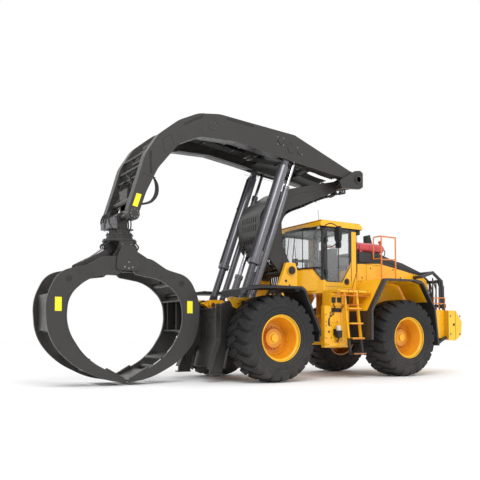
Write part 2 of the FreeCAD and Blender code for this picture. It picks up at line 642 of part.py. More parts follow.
def build_rear_frame():
    rail = block("rail_back", "rail_front", "rail_inner", "rail_outer", "frame_bottom",
                 "rail_top")
    parts = both(rail)
    parts.append(block("block_back", "rail_front", "-joint_half", "joint_half", "block_low",
                       "block_high"))
    parts.append(block("block_back", "rail_front", "-rail_outer", "rail_outer",
                       "frame_bottom", "rail_top"))
    parts += ear("ear_low", -1) + ear("ear_high", -1)
    parts.append(cylinder("Z", ("0", "0", "joint_pin_low"), "joint_pin",
                          "joint_pin_high - joint_pin_low"))
    for fork in steer_fork("steer_foot_x", "steer_foot_y", -1):
        parts += both(fork)
    pin = cylinder("Z", ("steer_foot_x", "steer_foot_y", "steer_height - 60"), "steer_pin",
                   "120")
    parts += both(pin)
    for back in ("-2650", "-1330", "-1000"):
        parts.append(block(back, "%s + 110" % back, "-rail_outer", "rail_outer",
                           "frame_bottom + 10", "frame_bottom + 90"))
    parts.append(block("%s - 1480" % REAR_AXLE, "%s + 875" % REAR_AXLE, "-hood_half",
                       "hood_half", "rail_top - 30", "rail_top"))
    parts.append(block("tail_back", "rail_back", "-tail_half", "tail_half", "tail_low",
                       "tail_high"))
    for back in ("cab_mount_back", "cab_mount_front"):
        pillar = block(back, "%s + cab_mount_long" % back, "rail_inner", "rail_outer",
                       "rail_top - 40", "cab_low")
        parts += both(pillar)
    parts += both(block("cab_mount_front", "cab_mount_front + cab_mount_long",
                        "rail_outer - 10", "platform_outer - 60", "cab_low - 80", "cab_low"))
    tie = ("tail_back + 140", "tail_low - 45")
    parts += both(across(tie, "tie_lug", "tie_inner", "tie_inner + tie_thick"))
    parts += both(block("tail_back + 140 - tie_lug", "tail_back + 140 + tie_lug", "tie_inner",
                        "tie_inner + tie_thick", "tail_low - 45", "tail_low + 20"))
    frame = fused(fresh("frame"), parts)
    tie_holes = both(across(tie, "tie_hole", "tie_inner - 20", "tie_inner + tie_thick + 20"))
    deck_hole = block("engine_back - 20", "engine_front + 20", "-rail_inner", "rail_inner",
                      "frame_bottom + 90", "rail_top + 10")
    node(cut("rear_frame", frame, [deck_hole] + tie_holes), "rear_frame")


build_rear_frame()


def build_front_frame():
    parts = [block("joint_reach", "joint_reach + joint_plate", "-joint_half", "joint_half",
                   "block_low", "block_high")]
    parts.append(block("joint_reach", "nose_front", "-front_box_half", "front_box_half",
                       "frame_bottom", "front_box_top"))
    parts += ear("ear_low + ear_thick + ear_gap", 1)
    parts += ear("ear_high - ear_thick - ear_gap", 1)
    parts.append(block("620", "nose_back + 40", "-tower_outer", "tower_outer",
                       "frame_bottom", "frame_bottom + 120"))
    parts += both(shaped("tower", "tower_inner", "tower_outer"))
    parts += both(block("nose_back", "nose_front", "front_box_half - 10", "nose_half",
                        "frame_bottom", "nose_top"))
    parts.append(across(ARM_PIVOT, "arm_pin", "-arm_pin_half", "arm_pin_half"))
    parts += both(across(ARM_PIVOT, "arm_pin_boss", "tower_outer - 5", "tower_outer + 25"))
    for fork in steer_fork("steer_eye_x", "steer_eye_y", 1):
        parts += both(fork)
    walls = [("lift_y - lift_eye_thick / 2 - 10 - lug_wall", "lift_y - lift_eye_thick / 2 - 10"),
             ("lift_y + lift_eye_thick / 2 + 10", "lift_y + lift_eye_thick / 2 + 10 + lug_wall")]
    for low, high in walls:
        parts += both(shaped("lift_lug", low, high))
    reach = "(arm_cylinder_thick / 2 + 6)"
    for low, high in (("arm_cylinder_y - %s - 22" % reach, "arm_cylinder_y - %s" % reach),
                      ("arm_cylinder_y + %s" % reach, "arm_cylinder_y + %s + 22" % reach)):
        parts += both(shaped("arm_lug", low, high))
    parts += both(across(ARM_FOOT, "arm_cylinder_pin", "arm_cylinder_y - 60",
                         "arm_cylinder_y + 60"))
    frame = fused(fresh("frame"), parts)
    tools = [cylinder("Z", ("0", "0", "block_low - 100"), "joint_pin + fit", "1000")]
    for foot, radius in ((LIFT_FOOT, "lift_pin"), (ASSIST_FOOT, "assist_pin")):
        tools += both(across(foot, "%s + fit" % radius, "lift_y - 150", "lift_y + 150"))
    node(cut("front_frame", frame, tools), "front_frame")


build_front_frame()


def build_log_guard():
    parts = both(shaped("guard_web", "nose_half - 45", "nose_half"))
    parts += both(shaped("guard_flange", "nose_half - 100", "nose_half + 60"))
    parts.append(shaped("guard_plate", "45 - nose_half", "nose_half - 45"))
    parts += both(block("2655", "2960", "nose_half - 75", "nose_half + 75", "140", "165"))
    node(fused("log_guard", parts), "log_guard")


build_log_guard()


def build_front_fender():
    sheet = shaped("front_fender", "front_fender_inner", "front_fender_outer")
    bracket = block("1250", "1370", "tower_outer + seat_gap", "front_fender_outer - 100",
                    "1812", "1868")
    return fused(fresh("fender"), [sheet, bracket])


node(grouped("front_fenders", both(build_front_fender())), "front_fenders")


# ---------------------------------------------------------------- lower arm

def build_lower_arm():
    parts = both(shaped("arm", "arm_plate_inner", "arm_plate_outer"))
    parts.append(shaped("arm_cover", "-arm_plate_inner", "arm_plate_inner"))
    parts.append(shaped("arm_belly", "-arm_plate_inner", "arm_plate_inner"))
    parts.append(shaped("arm_apron", "-arm_lug_inner - 4", "arm_lug_inner + 4"))
    parts.append(across(ARM_PIVOT, "arm_tube", "-arm_plate_outer", "arm_plate_outer"))
    parts.append(across(ELBOW, "arm_tube", "-arm_plate_outer", "arm_plate_outer"))
    tie = ("%s + 640" % ARM_PIVOT[0], "%s + 700" % ARM_PIVOT[1])
    parts.append(across(tie, "80", "-arm_plate_inner - 5", "arm_plate_inner + 5"))
    parts += both(shaped("arm_boss", "arm_lug_inner", "arm_lug_inner + arm_lug_thick"))
    parts += both(shaped("fork", "fork_inner", "fork_outer"))
    bridge = ("%s + 385" % ELBOW[0], "%s - 185" % ELBOW[1])
    parts.append(across(bridge, "fork_bridge", "-fork_outer", "fork_outer"))
    arm = fused(fresh("arm"), parts)
    tools = [across(ARM_PIVOT, "arm_pin + fit", "-900", "900"),
             across(ELBOW, "elbow_pin + fit", "-900", "900")]
    for low, high in (("cover_slot_low", "cover_slot_high"), ("cover_slot_next", "cover_slot_top")):
        for count in range(7):
            middle = "(%d - 3) * cover_slot_step" % count
            tools.append(block("%s + 620" % ARM_PIVOT[0], "%s + 800" % ARM_PIVOT[0],
                               "%s - cover_slot_half" % middle, "%s + cover_slot_half" % middle,
                               "%s + %s" % (ARM_PIVOT[1], low), "%s + %s" % (ARM_PIVOT[1], high)))
    node(cut("lower_arm", arm, tools), "lower_arm")


build_lower_arm()
node(across(ELBOW, "elbow_pin", "-elbow_pin_half", "elbow_pin_half"), "elbow_pin")


# ---------------------------------------------------------------- boom

def build_beam():
    beam = shaped("beam", "beam_inner", "beam_outer")
    boss = across(TIP, "tip_boss", "beam_inner", "beam_outer + 18")
    hub = across(ELBOW, "130", "beam_inner", "beam_outer + 8")
    slot = shaped("slot", "lift_y - slot_half", "lift_y + slot_half")
    tools = [slot, across(ELBOW, "elbow_pin + fit", "400", "900"),
             across(TIP, "tip_pin + fit", "400", "900")]
    return cut(fresh("beam"), fused(fresh("beam"), [beam, boss, hub]), tools)


node(build_beam(), "boom_beam_left")
node(mirrored(build_beam()), "boom_beam_right")


def from_elbow(ahead, above):
    return ("%s + %s" % (ELBOW[0], ahead), "%s + %s" % (ELBOW[1], above))


def build_cross_frame():
    def tube(ahead, above, radius="boom_tube"):
        return across(from_elbow(ahead, above), radius, "-beam_inner", "beam_inner")

    pieces = [shaped("top_plate", "-beam_inner", "beam_inner"),
              tube(900, 280), tube(2000, 450), tube(3100, 600)]
    high, low, tip = from_elbow(4250, 560), from_elbow(4900, 30), from_elbow(5385, -1000)
    runs = []
    for sign in ("", "-"):
        edge = "%s(beam_inner - 60)" % sign
        runs.append([(high[0], edge, high[1]), (low[0], "0", low[1])])
        runs.append([(low[0], "0", low[1]), (tip[0], edge, tip[1])])
    brace = bars("Brace", runs, "brace_tube")
    neck = [tube(4250, 560), tube(4900, 30), tube(5385, -1000, "tip_tube"), brace]
    pieces.append(fused("Neck", neck))
    node(grouped("boom_cross_frame", pieces), "boom_cross_frame")


build_cross_frame()


# ---------------------------------------------------------------- hydraulic cylinders

def length_of(foot, head):
    return "%.9f" % along(foot, head)[1]


def shank(low, high, thick, half):
    """The flat neck that joins an eye to its rod or barrel, between two places of local Z."""
    return block("-(%s)" % half, half, "-(%s) / 2" % thick, "(%s) / 2" % thick, low, high)


def rod_piece(start, end, radius, place, eye_radius, thick, bore=None, neck=None):
    """A chromed rod between two places of local Z with one eye."""
    bar = cylinder("Z", ("0", "0", start), radius, "(%s) - (%s)" % (end, start))
    parts = [bar, eye(place, eye_radius, thick)]
    if neck is not None:
        parts.append(shank(neck[0], neck[1], thick, radius))
    whole = fused(fresh("rod"), parts)
    if bore is None:
        return whole
    return cut(fresh("rod"), whole, [across(("0", place), bore, "-200", "200")])


def tube_piece(low, high, radius, inner, rod, collar_low, collar_high, collar, closed_low):
    """A barrel between two places with a gland collar that just clears its rod."""
    outside = [cylinder("Z", ("0", "0", low), radius, "(%s) - (%s)" % (high, low)),
               cylinder("Z", ("0", "0", collar_low), collar,
                        "(%s) - (%s)" % (collar_high, collar_low))]
    whole = fused(fresh("barrel"), outside)
    if closed_low:
        room = cylinder("Z", ("0", "0", "%s + 40" % low), inner,
                        "(%s) - (%s) - 40" % (collar_low, low))
        gland = cylinder("Z", ("0", "0", collar_low), "%s + fit" % rod,
                         "(%s) - (%s) + 50" % (collar_high, collar_low))
    else:
        room = cylinder("Z", ("0", "0", collar_high), inner,
                        "(%s) - (%s) - 40" % (high, collar_high))
        gland = cylinder("Z", ("0", "0", "%s - 50" % collar_low), "%s + fit" % rod,
                         "(%s) - (%s) + 50" % (collar_high, collar_low))
    return whole, [room, gland]


def across_local(place, radius, thick):
    return cylinder("Y", ("0", "-(%s) / 2" % thick, place), radius, thick)


# Lift cylinders: rods stand on the nose, barrels hang from the boom.
lift_long = length_of(LIFT_FOOT, LIFT_HEAD)
rods = rod_piece("lift_clear", "lift_rod_reach", "lift_rod", "0", "lift_eye",
                 "lift_eye_thick", "lift_pin + fit", ("0", "lift_clear + 10"))
node(pair("lift_rods", rods, LIFT_FOOT, LIFT_HEAD, "lift_y"), "lift_rods")
shell, rooms = tube_piece("lift_collar_start", "%s - lift_neck" % lift_long, "lift_barrel",
                          "lift_bore", "lift_rod", "lift_collar_start",
                          "lift_collar_start + lift_collar_long", "lift_collar", False)
neck = shank("%s - lift_neck - 5" % lift_long, lift_long, "lift_eye_thick", "62")
head_eye = across_local(lift_long, "lift_eye", "lift_eye_thick")
stub = across_local(lift_long, "lift_pin", "lift_eye_thick + 10")
whole = cut("Barrel", fused("Barrel", [shell, neck, head_eye, stub]), rooms)
node(pair("lift_barrels", whole, LIFT_FOOT, LIFT_HEAD, "lift_y"), "lift_barrels")
pin = across(LIFT_FOOT, "lift_pin", "lift_y - 100", "lift_y + 100")
node(grouped("lift_foot_pins", both(pin)), "lift_foot_pins")

# Assist cylinders: barrels stand on the nose, rods reach up to the boom.
assist_long = length_of(ASSIST_FOOT, ASSIST_HEAD)
shell, rooms = tube_piece("assist_clear", "assist_barrel_end", "assist_barrel", "assist_bore",
                          "assist_rod", "assist_barrel_end - assist_collar_long",
                          "assist_barrel_end", "assist_collar", True)
foot_eye = across_local("0", "assist_eye", "assist_eye_thick")
foot_bore = across_local("0", "assist_pin + fit", "400")
foot_neck = shank("0", "assist_clear + 10", "assist_eye_thick", "assist_barrel - 8")
whole = cut("Barrel", fused("Barrel", [shell, foot_eye, foot_neck]), rooms + [foot_bore])
node(pair("assist_barrels", whole, ASSIST_FOOT, ASSIST_HEAD, "lift_y"), "assist_barrels")
rods = rod_piece("assist_rod_start", assist_long, "assist_rod", assist_long, "assist_eye",
                 "assist_eye_thick")
node(pair("assist_rods", rods, ASSIST_FOOT, ASSIST_HEAD, "lift_y"), "assist_rods")
pin = across(ASSIST_FOOT, "assist_pin", "lift_y - 95", "lift_y + 95")
node(grouped("assist_foot_pins", both(pin)), "assist_foot_pins")

# Arm cylinders: barrels stand between the nose lugs, rods hold the lower arm.
arm_long = length_of(ARM_FOOT, ARM_HEAD)
shell, rooms = tube_piece("arm_clear", "arm_barrel_end", "arm_barrel", "arm_bore", "arm_rod",
                          "arm_barrel_end - arm_collar_long", "arm_barrel_end", "arm_collar",
                          True)
foot_eye = across_local("0", "arm_cylinder_eye", "arm_cylinder_thick")
foot_bore = across_local("0", "arm_cylinder_pin + fit", "400")
foot_neck = shank("0", "arm_clear + 10", "arm_cylinder_thick", "arm_barrel - 8")
whole = cut("Barrel", fused("Barrel", [shell, foot_eye, foot_neck]), rooms + [foot_bore])
node(pair("arm_barrels", whole, ARM_FOOT, ARM_HEAD, "arm_cylinder_y"), "arm_barrels")
rods = rod_piece("arm_rod_start", arm_long, "arm_rod", arm_long, "arm_cylinder_eye - 10",
                 "arm_cylinder_thick - 4")
node(pair("arm_rods", rods, ARM_FOOT, ARM_HEAD, "arm_cylinder_y"), "arm_rods")


def steering_cylinder():
    """A steering cylinder along local X with upright eyes: barrel and rod."""
    span = Vector(amount("steer_eye_x - steer_foot_x"), amount("steer_eye_y - steer_foot_y"), 0)
    long = "%.9f" % span.Length
    outside = [cylinder("X", ("steer_clear", "0", "0"), "steer_barrel",
                        "steer_collar - steer_clear"),
               block("0", "steer_clear + 10", "-40", "40", "-steer_eye_thick / 2",
                     "steer_eye_thick / 2"),
               cylinder("Z", ("0", "0", "-steer_eye_thick / 2"), "steer_eye_radius",
                        "steer_eye_thick")]
    inside = [cylinder("X", ("steer_clear + 30", "0", "0"), "steer_barrel - 12",
                       "steer_collar - steer_clear - 80"),
              cylinder("X", ("steer_clear + 30", "0", "0"), "steer_rod + fit", "steer_collar"),
              cylinder("Z", ("0", "0", "-100"), "steer_pin + fit", "200")]
    barrel = cut(fresh("barrel"), fused(fresh("barrel"), outside), inside)
    bar = cylinder("X", ("steer_rod_start", "0", "0"), "steer_rod", "%s - steer_rod_start" % long)
    ring = cylinder("Z", (long, "0", "-steer_eye_thick / 2"), "steer_eye_radius",
                    "steer_eye_thick")
    rod = fused(fresh("rod"), [bar, ring])
    spot = Vector(amount("steer_foot_x"), amount("steer_foot_y"), amount("steer_height"))
    place = Placement(spot, Rotation(Vector(1, 0, 0), span))
    barrel.Placement = place
    rod.Placement = place
    return barrel, rod


steer_left = steering_cylinder()
node(steer_left[0], "steering_barrel_left")
node(steer_left[1], "steering_rod_left")
steer_right = steering_cylinder()
node(mirrored(steer_right[0]), "steering_barrel_right")
node(mirrored(steer_right[1]), "steering_rod_right")


# ---------------------------------------------------------------- grapple

node(across(TIP, "tip_pin", "-tip_pin_half", "tip_pin_half"), "tip_pin")


def build_link():
    parts = [across(TIP, "link_boss", "-link_half", "link_half"),
             block("%s - 110" % TIP[0], "%s + 110" % TIP[0], "-link_half", "link_half",
                   "rotator_top", TIP[1])]
    return cut("grapple_link", fused("Link", parts), [across(TIP, "tip_pin + fit", "-300", "300")])


node(build_link(), "grapple_link")


def upright(radius, low, high):
    return cylinder("Z", (TIP[0], "0", low), radius, "(%s) - (%s)" % (high, low))


def build_rotator():
    parts = [upright("rotator_flange", "rotator_bottom", "rotator_bottom + flange_thick"),
             upright("rotator_motor", "rotator_bottom", "rotator_top - 70"),
             upright("rotator_cap", "rotator_bottom", "rotator_top")]
    room = upright("spindle + fit", "rotator_bottom - 10", "rotator_bottom + 110")
    return cut("rotator", fused("Rotator", parts), [room])


node(build_rotator(), "rotator")


def jaw_place(letter, sign):
    mark = "+" if sign > 0 else "-"
    return ("%s %s jaw_%s_x" % (TIP[0], mark, letter), "jaw_%s_z" % letter)


def build_head():
    parts = both(shaped("head", "head_half_width - 40", "head_half_width"))
    parts.append(block("%s - 120" % TIP[0], "%s + 120" % TIP[0], "-head_half_width",
                       "head_half_width", "head_top - 50", "head_top"))
    parts.append(upright("spindle", "spindle_bottom", "rotator_bottom + 95"))
    low = "(jaw_eye_thick / 2 + jaw_lug_gap)"
    parts += both(block("%s - 290" % TIP[0], "%s + 290" % TIP[0], low,
                        "%s + jaw_lug_thick" % low, "jaw_foot_z - 90", "head_top - 5"))
    for sign in (1, -1):
        pivot = jaw_place("pin", sign)
        parts.append(across(pivot, "jaw_pin", "-jaw_pin_half", "jaw_pin_half"))
        parts += both(across(pivot, "90", "head_half_width - 5", "jaw_plate_inner - 8"))
        foot = jaw_place("foot", sign)
        parts.append(across(foot, "jaw_cylinder_pin", "-60", "60"))
    return fused("grapple_head", parts)


node(build_head(), "grapple_head")


def build_jaw(sign):
    plate = prism("XZ", outline_corners("jaw", sign < 0), "jaw_plate_inner",
                  "jaw_plate_outer", outline_rounds("jaw"), "Jaw")
    parts = both(plate)
    mark = "+" if sign > 0 else "-"
    for ahead, above in ((640, 305), (1331, 1100), (1225, 1750), (930, 1930)):
        parts.append(across(("%s %s %d" % (TIP[0], mark, ahead), str(above)), "jaw_bar",
                            "-jaw_plate_inner - 5", "jaw_plate_inner + 5"))
    low = "(jaw_eye_thick / 2 + jaw_lug_gap)"
    lug = prism("XZ", outline_corners("jaw_lug", sign < 0), low, "%s + jaw_lug_thick" % low,
                outline_rounds("jaw_lug"), "Lug")
    parts += both(lug)
    bore = across(jaw_place("pin", sign), "jaw_pin + fit", "-600", "600")
    return cut(fresh("jaw"), fused(fresh("jaw"), parts), [bore])


node(build_jaw(1), "jaw_front")
node(build_jaw(-1), "jaw_rear")


def jaw_cylinder(sign):
    foot, head = jaw_place("foot", sign), jaw_place("head", sign)
    long = length_of(foot, head)
    shell, rooms = tube_piece("jaw_clear", "jaw_barrel_end", "jaw_barrel - 14", "jaw_cylinder_bore - 8",
                              "jaw_rod", "jaw_barrel_end - 60", "jaw_barrel_end",
                              "jaw_collar - 10", True)
    ring = across_local("0", "jaw_eye", "jaw_eye_thick")
    bore = across_local("0", "jaw_cylinder_pin + fit", "300")
    neck = shank("0", "jaw_clear + 10", "jaw_eye_thick", "45")
    barrel = cut(fresh("barrel"), fused(fresh("barrel"), [shell, ring, neck]), rooms + [bore])
    rod = rod_piece("jaw_rod_start", long, "jaw_rod", long, "jaw_eye - 4", "jaw_eye_thick - 4")
    return stand(barrel, foot, head, "0"), stand(rod, foot, head, "0")


for sign, side in ((1, "front"), (-1, "rear")):
    barrel, rod = jaw_cylinder(sign)
    node(barrel, "jaw_barrel_" + side)
    node(rod, "jaw_rod_" + side)


# ---------------------------------------------------------------- cab

def cab_ring(inset, low, high, name):
    """The cab's plan: square behind, bowed in front, drawn a wall's thickness further in."""
    corners = [("cab_back + %s" % inset, "%s - cab_half" % inset),
               ("cab_side_front - %s / 2" % inset, "%s - cab_half" % inset),
               ("cab_nose_front - %s" % inset, "-cab_nose_half"),
               ("cab_nose_front - %s" % inset, "cab_nose_half"),
               ("cab_side_front - %s / 2" % inset, "cab_half - %s" % inset),
               ("cab_back + %s" % inset, "cab_half - %s" % inset)]
    return prism("XY", corners, low, high, None, name)


def slant(y_place):
    """Where the outer face of a slanted front panel lies, at a distance from the middle."""
    slope = "(cab_nose_front - cab_side_front) / (cab_half - cab_nose_half)"
    return "cab_side_front + (cab_half - (%s)) * %s" % (y_place, slope)


def build_cab():
    outer = cab_ring("0", "cab_low", "cab_high", "Cab")
    room = cab_ring("cab_wall", "cab_low + floor_thick", "cab_high + 10", "Room")
    cowl = prism("XY", [("cab_side_front - 30", "-cab_half + 20"),
                        ("cab_nose_front + 150", "-cab_nose_half + 30"),
                        ("cab_nose_front + 150", "cab_nose_half - 30"),
                        ("cab_side_front - 30", "cab_half - 20")],
                 "cab_low + floor_thick", "front_sill - 40", None, "Cowl")
    shoulder = prism("YZ", [("cab_half + 20", "corner_sill - 40"),
                            ("cab_half - 60", "corner_sill - 40"),
                            ("cowl_half", "front_sill - 40"), ("cowl_half", "front_sill + 40"),
                            ("cab_half + 20", "front_sill + 40")],
                     "cab_side_front + 60", "cab_nose_front + 200", {1: "120", 2: "100"}, "Shoulder")
    screen = prism("YZ", [("cab_wall - cab_half", "window_top"), ("cab_half - cab_wall", "window_top"),
                          ("cab_half - cab_wall", "corner_sill"), ("cowl_half - 30", "front_sill"),
                          ("30 - cowl_half", "front_sill"), ("cab_wall - cab_half", "corner_sill")],
                   "cab_side_front - 60", "cab_nose_front + 60", None, "Screen")
    tools = [room, screen,
             block("door_back", "door_front", "cab_half - 100", "cab_half + 100", "door_low",
                   "door_high"),
             block("door_back", "door_front", "-cab_half - 100", "100 - cab_half",
                   "sill_height", "window_top"),
             block("cab_back - 100", "cab_back + 100", "-rear_window_half",
                   "rear_window_half", "rear_sill", "window_top")]
    tools += both(shoulder)
    walls = cut("Walls", fused("Walls", [outer, cowl]), tools)
    parts = [walls]
    for low in ("2260", "2960"):
        for rise in ("0", "100"):
            base = "%s + %s" % (low, rise)
            parts.append(block("45", "75", "cab_half - 5", "cab_half + 38", base,
                               "%s + 20" % base))
        parts.append(cylinder("Z", ("hinge_ahead", "cab_half + hinge_out", low), "hinge_pin", "120"))
    node(fused("cab_shell", parts), "cab_shell")


build_cab()
node(shaped("roof", "-roof_half", "roof_half"), "cab_roof")


def build_glass():
    near, far = "cab_half - cab_wall", "cab_nose_half"
    plan = [("%s - 12" % slant(near), near), ("cab_nose_front - 12", far),
            ("cab_nose_front - 12", "-cab_nose_half"), ("%s - 12" % slant(near), "-(%s)" % near),
            ("%s - 20" % slant(near), "-(%s)" % near), ("cab_nose_front - 20", "-cab_nose_half"),
            ("cab_nose_front - 20", far), ("%s - 20" % slant(near), near)]
    bowed = prism("XY", plan, "corner_sill", "window_top", None, "Screen")
    below = prism("YZ", [("cab_half - cab_wall", "corner_sill"), ("cowl_half - 30", "front_sill"),
                         ("30 - cowl_half", "front_sill"), ("cab_wall - cab_half", "corner_sill")],
                  "cab_side_front - 100", "cab_nose_front + 60", None, "Sill")
    front = cut("Screen", bowed, [below])
    side = block("door_back", "door_front", "22 - cab_half", "22 - cab_half + glass_thick",
                 "sill_height", "window_top")
    rear = block("cab_back + 22", "cab_back + 22 + glass_thick", "-rear_window_half",
                 "rear_window_half", "rear_sill", "window_top")
    node(grouped("cab_glass", [front, side, rear]), "cab_glass")


build_glass()


def build_door():
    panel = block("door_back + door_gap", "door_front - door_gap", "cab_half - 45", "cab_half - 5",
                  "door_low + door_gap", "door_high - door_gap")
    inset = "(door_gap + door_frame)"
    back, front = "door_back + %s" % inset, "door_front - %s" % inset
    sill, head = "door_low + door_gap + door_sill", "door_high - %s" % inset
    opening = [(front, sill), (front, head), (back, head), (back, "door_cut_rise"),
               ("%s + door_cut_run" % back, sill)]
    hole = prism("XZ", opening, "cab_half - 100", "cab_half + 100", None, "Opening")
    parts = [cut("Panel", panel, [hole])]
    for low in ("2285", "2985"):
        parts.append(cylinder("Z", ("hinge_ahead", "cab_half + hinge_out", low), "20", "70"))
        parts.append(block("10", "50", "cab_half - 10", "cab_half + 30", low, "%s + 70" % low))
    whole = fused("Door", parts)
    bore = cylinder("Z", ("hinge_ahead", "cab_half + hinge_out", "2200"), "hinge_pin + fit", "1000")
    node(cut("cab_door", whole, [bore]), "cab_door")
    glass = prism("XZ", opening, "cab_half - 28", "cab_half - 28 + glass_thick", None, "Pane")
    node(glass, "cab_door_glass")


build_door()


def build_seat():
    x_low, x_high = "seat_x - seat_half", "seat_x + seat_half"
    base = block("seat_x - 180", "seat_x + 180", "-180", "180", "cab_low + floor_thick",
                 "seat_base_top")
    cushion = block(x_low, x_high, "-seat_half", "seat_half", "seat_base_top",
                    "seat_base_top + seat_cushion")
    back = block(x_low, "%s + seat_back_thick" % x_low, "-seat_half", "seat_half",
                 "seat_base_top", "seat_back_high")
    rests = both(block("seat_x - 200", "seat_x + 150", "seat_half - 5", "seat_half + 75",
                       "seat_base_top + 200", "seat_base_top + 260"))
    posts = both(block("seat_x - 200", "seat_x - 130", "seat_half - 10", "seat_half + 40",
                       "seat_base_top + 20", "seat_base_top + 210"))
    node(fused("operator_seat", [base, cushion, back] + rests + posts), "operator_seat")
    column = cylinder("Z", ("column_x", "0", "cab_low + floor_thick"), "column_radius",
                      "column_top - cab_low - floor_thick")
    wheel = doc.addObject("Part::Torus", fresh("Torus"))
    wheel.setExpression("Radius1", bound("wheel_radius"))
    wheel.setExpression("Radius2", bound("wheel_rim"))
    wheel.setExpression("Placement.Base.x", bound("column_x"))
    wheel.setExpression("Placement.Base.z", bound("column_top"))
    spoke = cylinder("Y", ("column_x", "-wheel_radius", "column_top"), "12", "2 * wheel_radius")
    node(fused("steering_column", [column, wheel, spoke]), "steering_column")


build_seat()


def build_mirror():
    arm_start = "cab_half + seat_gap"
    glass = block("mirror_x - mirror_deep / 2", "mirror_x + mirror_deep / 2",
                  "mirror_y - mirror_wide / 2", "mirror_y + mirror_wide / 2",
                  "mirror_z - mirror_tall / 2", "mirror_z + mirror_tall / 2")
    run = [("120", arm_start, "3250"), ("120", "cab_half + 120", "3250"),
           ("mirror_x", "mirror_y", "mirror_z + 120")]
    return fused(fresh("mirror"), [glass, bars("Arm", [run], "mirror_arm")])


node(grouped("mirrors", both(build_mirror())), "mirrors")


# ---------------------------------------------------------------- engine end

def build_hood():
    outer = shaped("hood", "-hood_half", "hood_half")
    void = shaped("hood_void", "hood_wall - hood_half", "hood_half - hood_wall")
    node(cut("engine_hood", outer, [void]), "engine_hood")
    node(shaped("hood_top", "-hood_top_half", "hood_top_half"), "hood_top")


build_hood()
node(block("engine_back", "engine_front", "-engine_half", "engine_half",
           "frame_bottom + 90", "engine_top"), "engine_block")
node(shaped("weight", "-weight_half", "weight_half"), "counterweight")


def build_guard():
    half, inner = "guard_half", "hood_half + seat_gap"
    runs = []
    for sign in ("", "-"):
        wall, out = "%s(%s)" % (sign, inner), "%s(%s)" % (sign, half)
        runs.append([("-2763", wall, "2330"), ("-2763", out, "2330"), ("-3158", out, "2450"),
                     ("-3465", out, "2253"), ("-3540", out, "1650"),
                     ("-3540", out, "1526 + seat_gap")])
    for ahead, above in (("-3158", "2450"), ("-3465", "2253"), ("-3540", "1650")):
        runs.append([(ahead, "-(%s)" % half, above), (ahead, half, above)])
    grille = []
    for y_place in ("-600", "-200", "200", "600"):
        grille.append([("-3158", y_place, "2450"), ("-3465", y_place, "2253"),
                       ("-3540", y_place, "1650")])
    frame = [bars("Tube", runs, "guard_tube"), bars("Tube", grille, "grille_tube")]
    node(fused("rear_guard", frame), "rear_guard")


build_guard()


def build_bottle():
    centre = "frame_bottom + 1790 + bottle_rest + bottle_radius"
    start = "bottle_x - bottle_long / 2"
    flask = cylinder("X", (start, "bottle_y", centre), "bottle_radius", "bottle_long")
    saddles = []
    for shift in ("120", "bottle_long - 180"):
        saddles.append(block("%s + %s" % (start, shift), "%s + %s + 60" % (start, shift),
                             "bottle_y - 80", "bottle_y + 80",
                             "frame_bottom + 1790 + seat_gap", centre))
    node(fused("fire_bottle", [flask] + saddles), "fire_bottle")


build_bottle()


def build_rear_fender():
    sheet = shaped("rear_fender", "rear_fender_inner", "rear_fender_outer")
    bracket = block("-1900", "-1300", "hood_half + seat_gap", "rear_fender_inner + 60",
                    "2080", "2165")
    return fused(fresh("fender"), [sheet, bracket])


node(grouped("rear_fenders", both(build_rear_fender())), "rear_fenders")


# ---------------------------------------------------------------- platforms and steps

def build_platform():
    plate = block("platform_back", "platform_front", "platform_inner", "platform_outer",
                  "platform_top - platform_thick", "platform_top")
    locker = block("locker_back", "locker_front", "platform_inner", "locker_outer",
                   "locker_low", "platform_top - platform_thick")
    panel = block("panel_back", "panel_front", "panel_inner", "panel_outer", "panel_low",
                  "locker_low")
    web = block("panel_web_back", "panel_web_front", "platform_inner", "panel_inner",
                "panel_low", "locker_low")
    return fused(fresh("platform"), [plate, locker, panel, web])


node(grouped("side_lockers", both(build_platform())), "side_lockers")


def build_ladder():
    under = "platform_top - platform_thick"
    parts = []
    for shift in ("0", "ladder_wide"):
        parts.append(prism("XZ", [("ladder_top_x - %s" % shift, under),
                                  ("ladder_top_x - stile - %s" % shift, under),
                                  ("ladder_foot_x - stile - %s" % shift, "ladder_low"),
                                  ("ladder_foot_x - %s" % shift, "ladder_low")],
                           "ladder_inner", "ladder_outer", None, "Stile"))
    slope = "(ladder_top_x - ladder_foot_x) / (platform_top - platform_thick - ladder_low)"
    for count in range(4):
        height = "ladder_low + 20 + %d * rung_step" % count
        middle = "ladder_foot_x + (%s - ladder_low) * %s" % (height, slope)
        parts.append(block("%s - ladder_wide - 10" % middle, "%s - 15" % middle, "ladder_inner + 5",
                           "rung_outer", height, "%s + rung_thick" % height))
    return fused(fresh("ladder"), parts)


node(grouped("access_ladders", both(build_ladder())), "access_ladders")


def build_handrails():
    fender_runs = [[("-1421", "1000", "2183.6"), ("-1421", "1000", "3200"),
                    ("-1872", "1000", "3200"), ("-1872", "1000", "2189.6")]]
    node(grouped("handrails", both(bars("Rail", fender_runs, "rail_tube"))), "handrails")


build_handrails()


# ---------------------------------------------------------------- finish

doc.recompute()
low = min(part.Shape.BoundBox.XMin for part in nodes)
high = max(part.Shape.BoundBox.XMax for part in nodes)
middle = (low + high) / 2
print("X shift %.6f, length %.3f" % (-middle, high - low))

for part in nodes:
    place = part.Placement
    part.Placement = Placement(Vector(-middle, 0, 0), Rotation()).multiply(place)
doc.recompute()

for item in doc.Objects:
    if "Invalid" in item.State or "Error" in item.State:
        raise RuntimeError("%s failed to build" % item.Name)

os.makedirs("parts", exist_ok=True)
for part in nodes:
    shape = part.Shape
    if shape.isNull() or not shape.isValid():
        raise RuntimeError("%s has no valid shape" % part.Label)
    shape.exportStep("parts/%s.step" % part.Label)
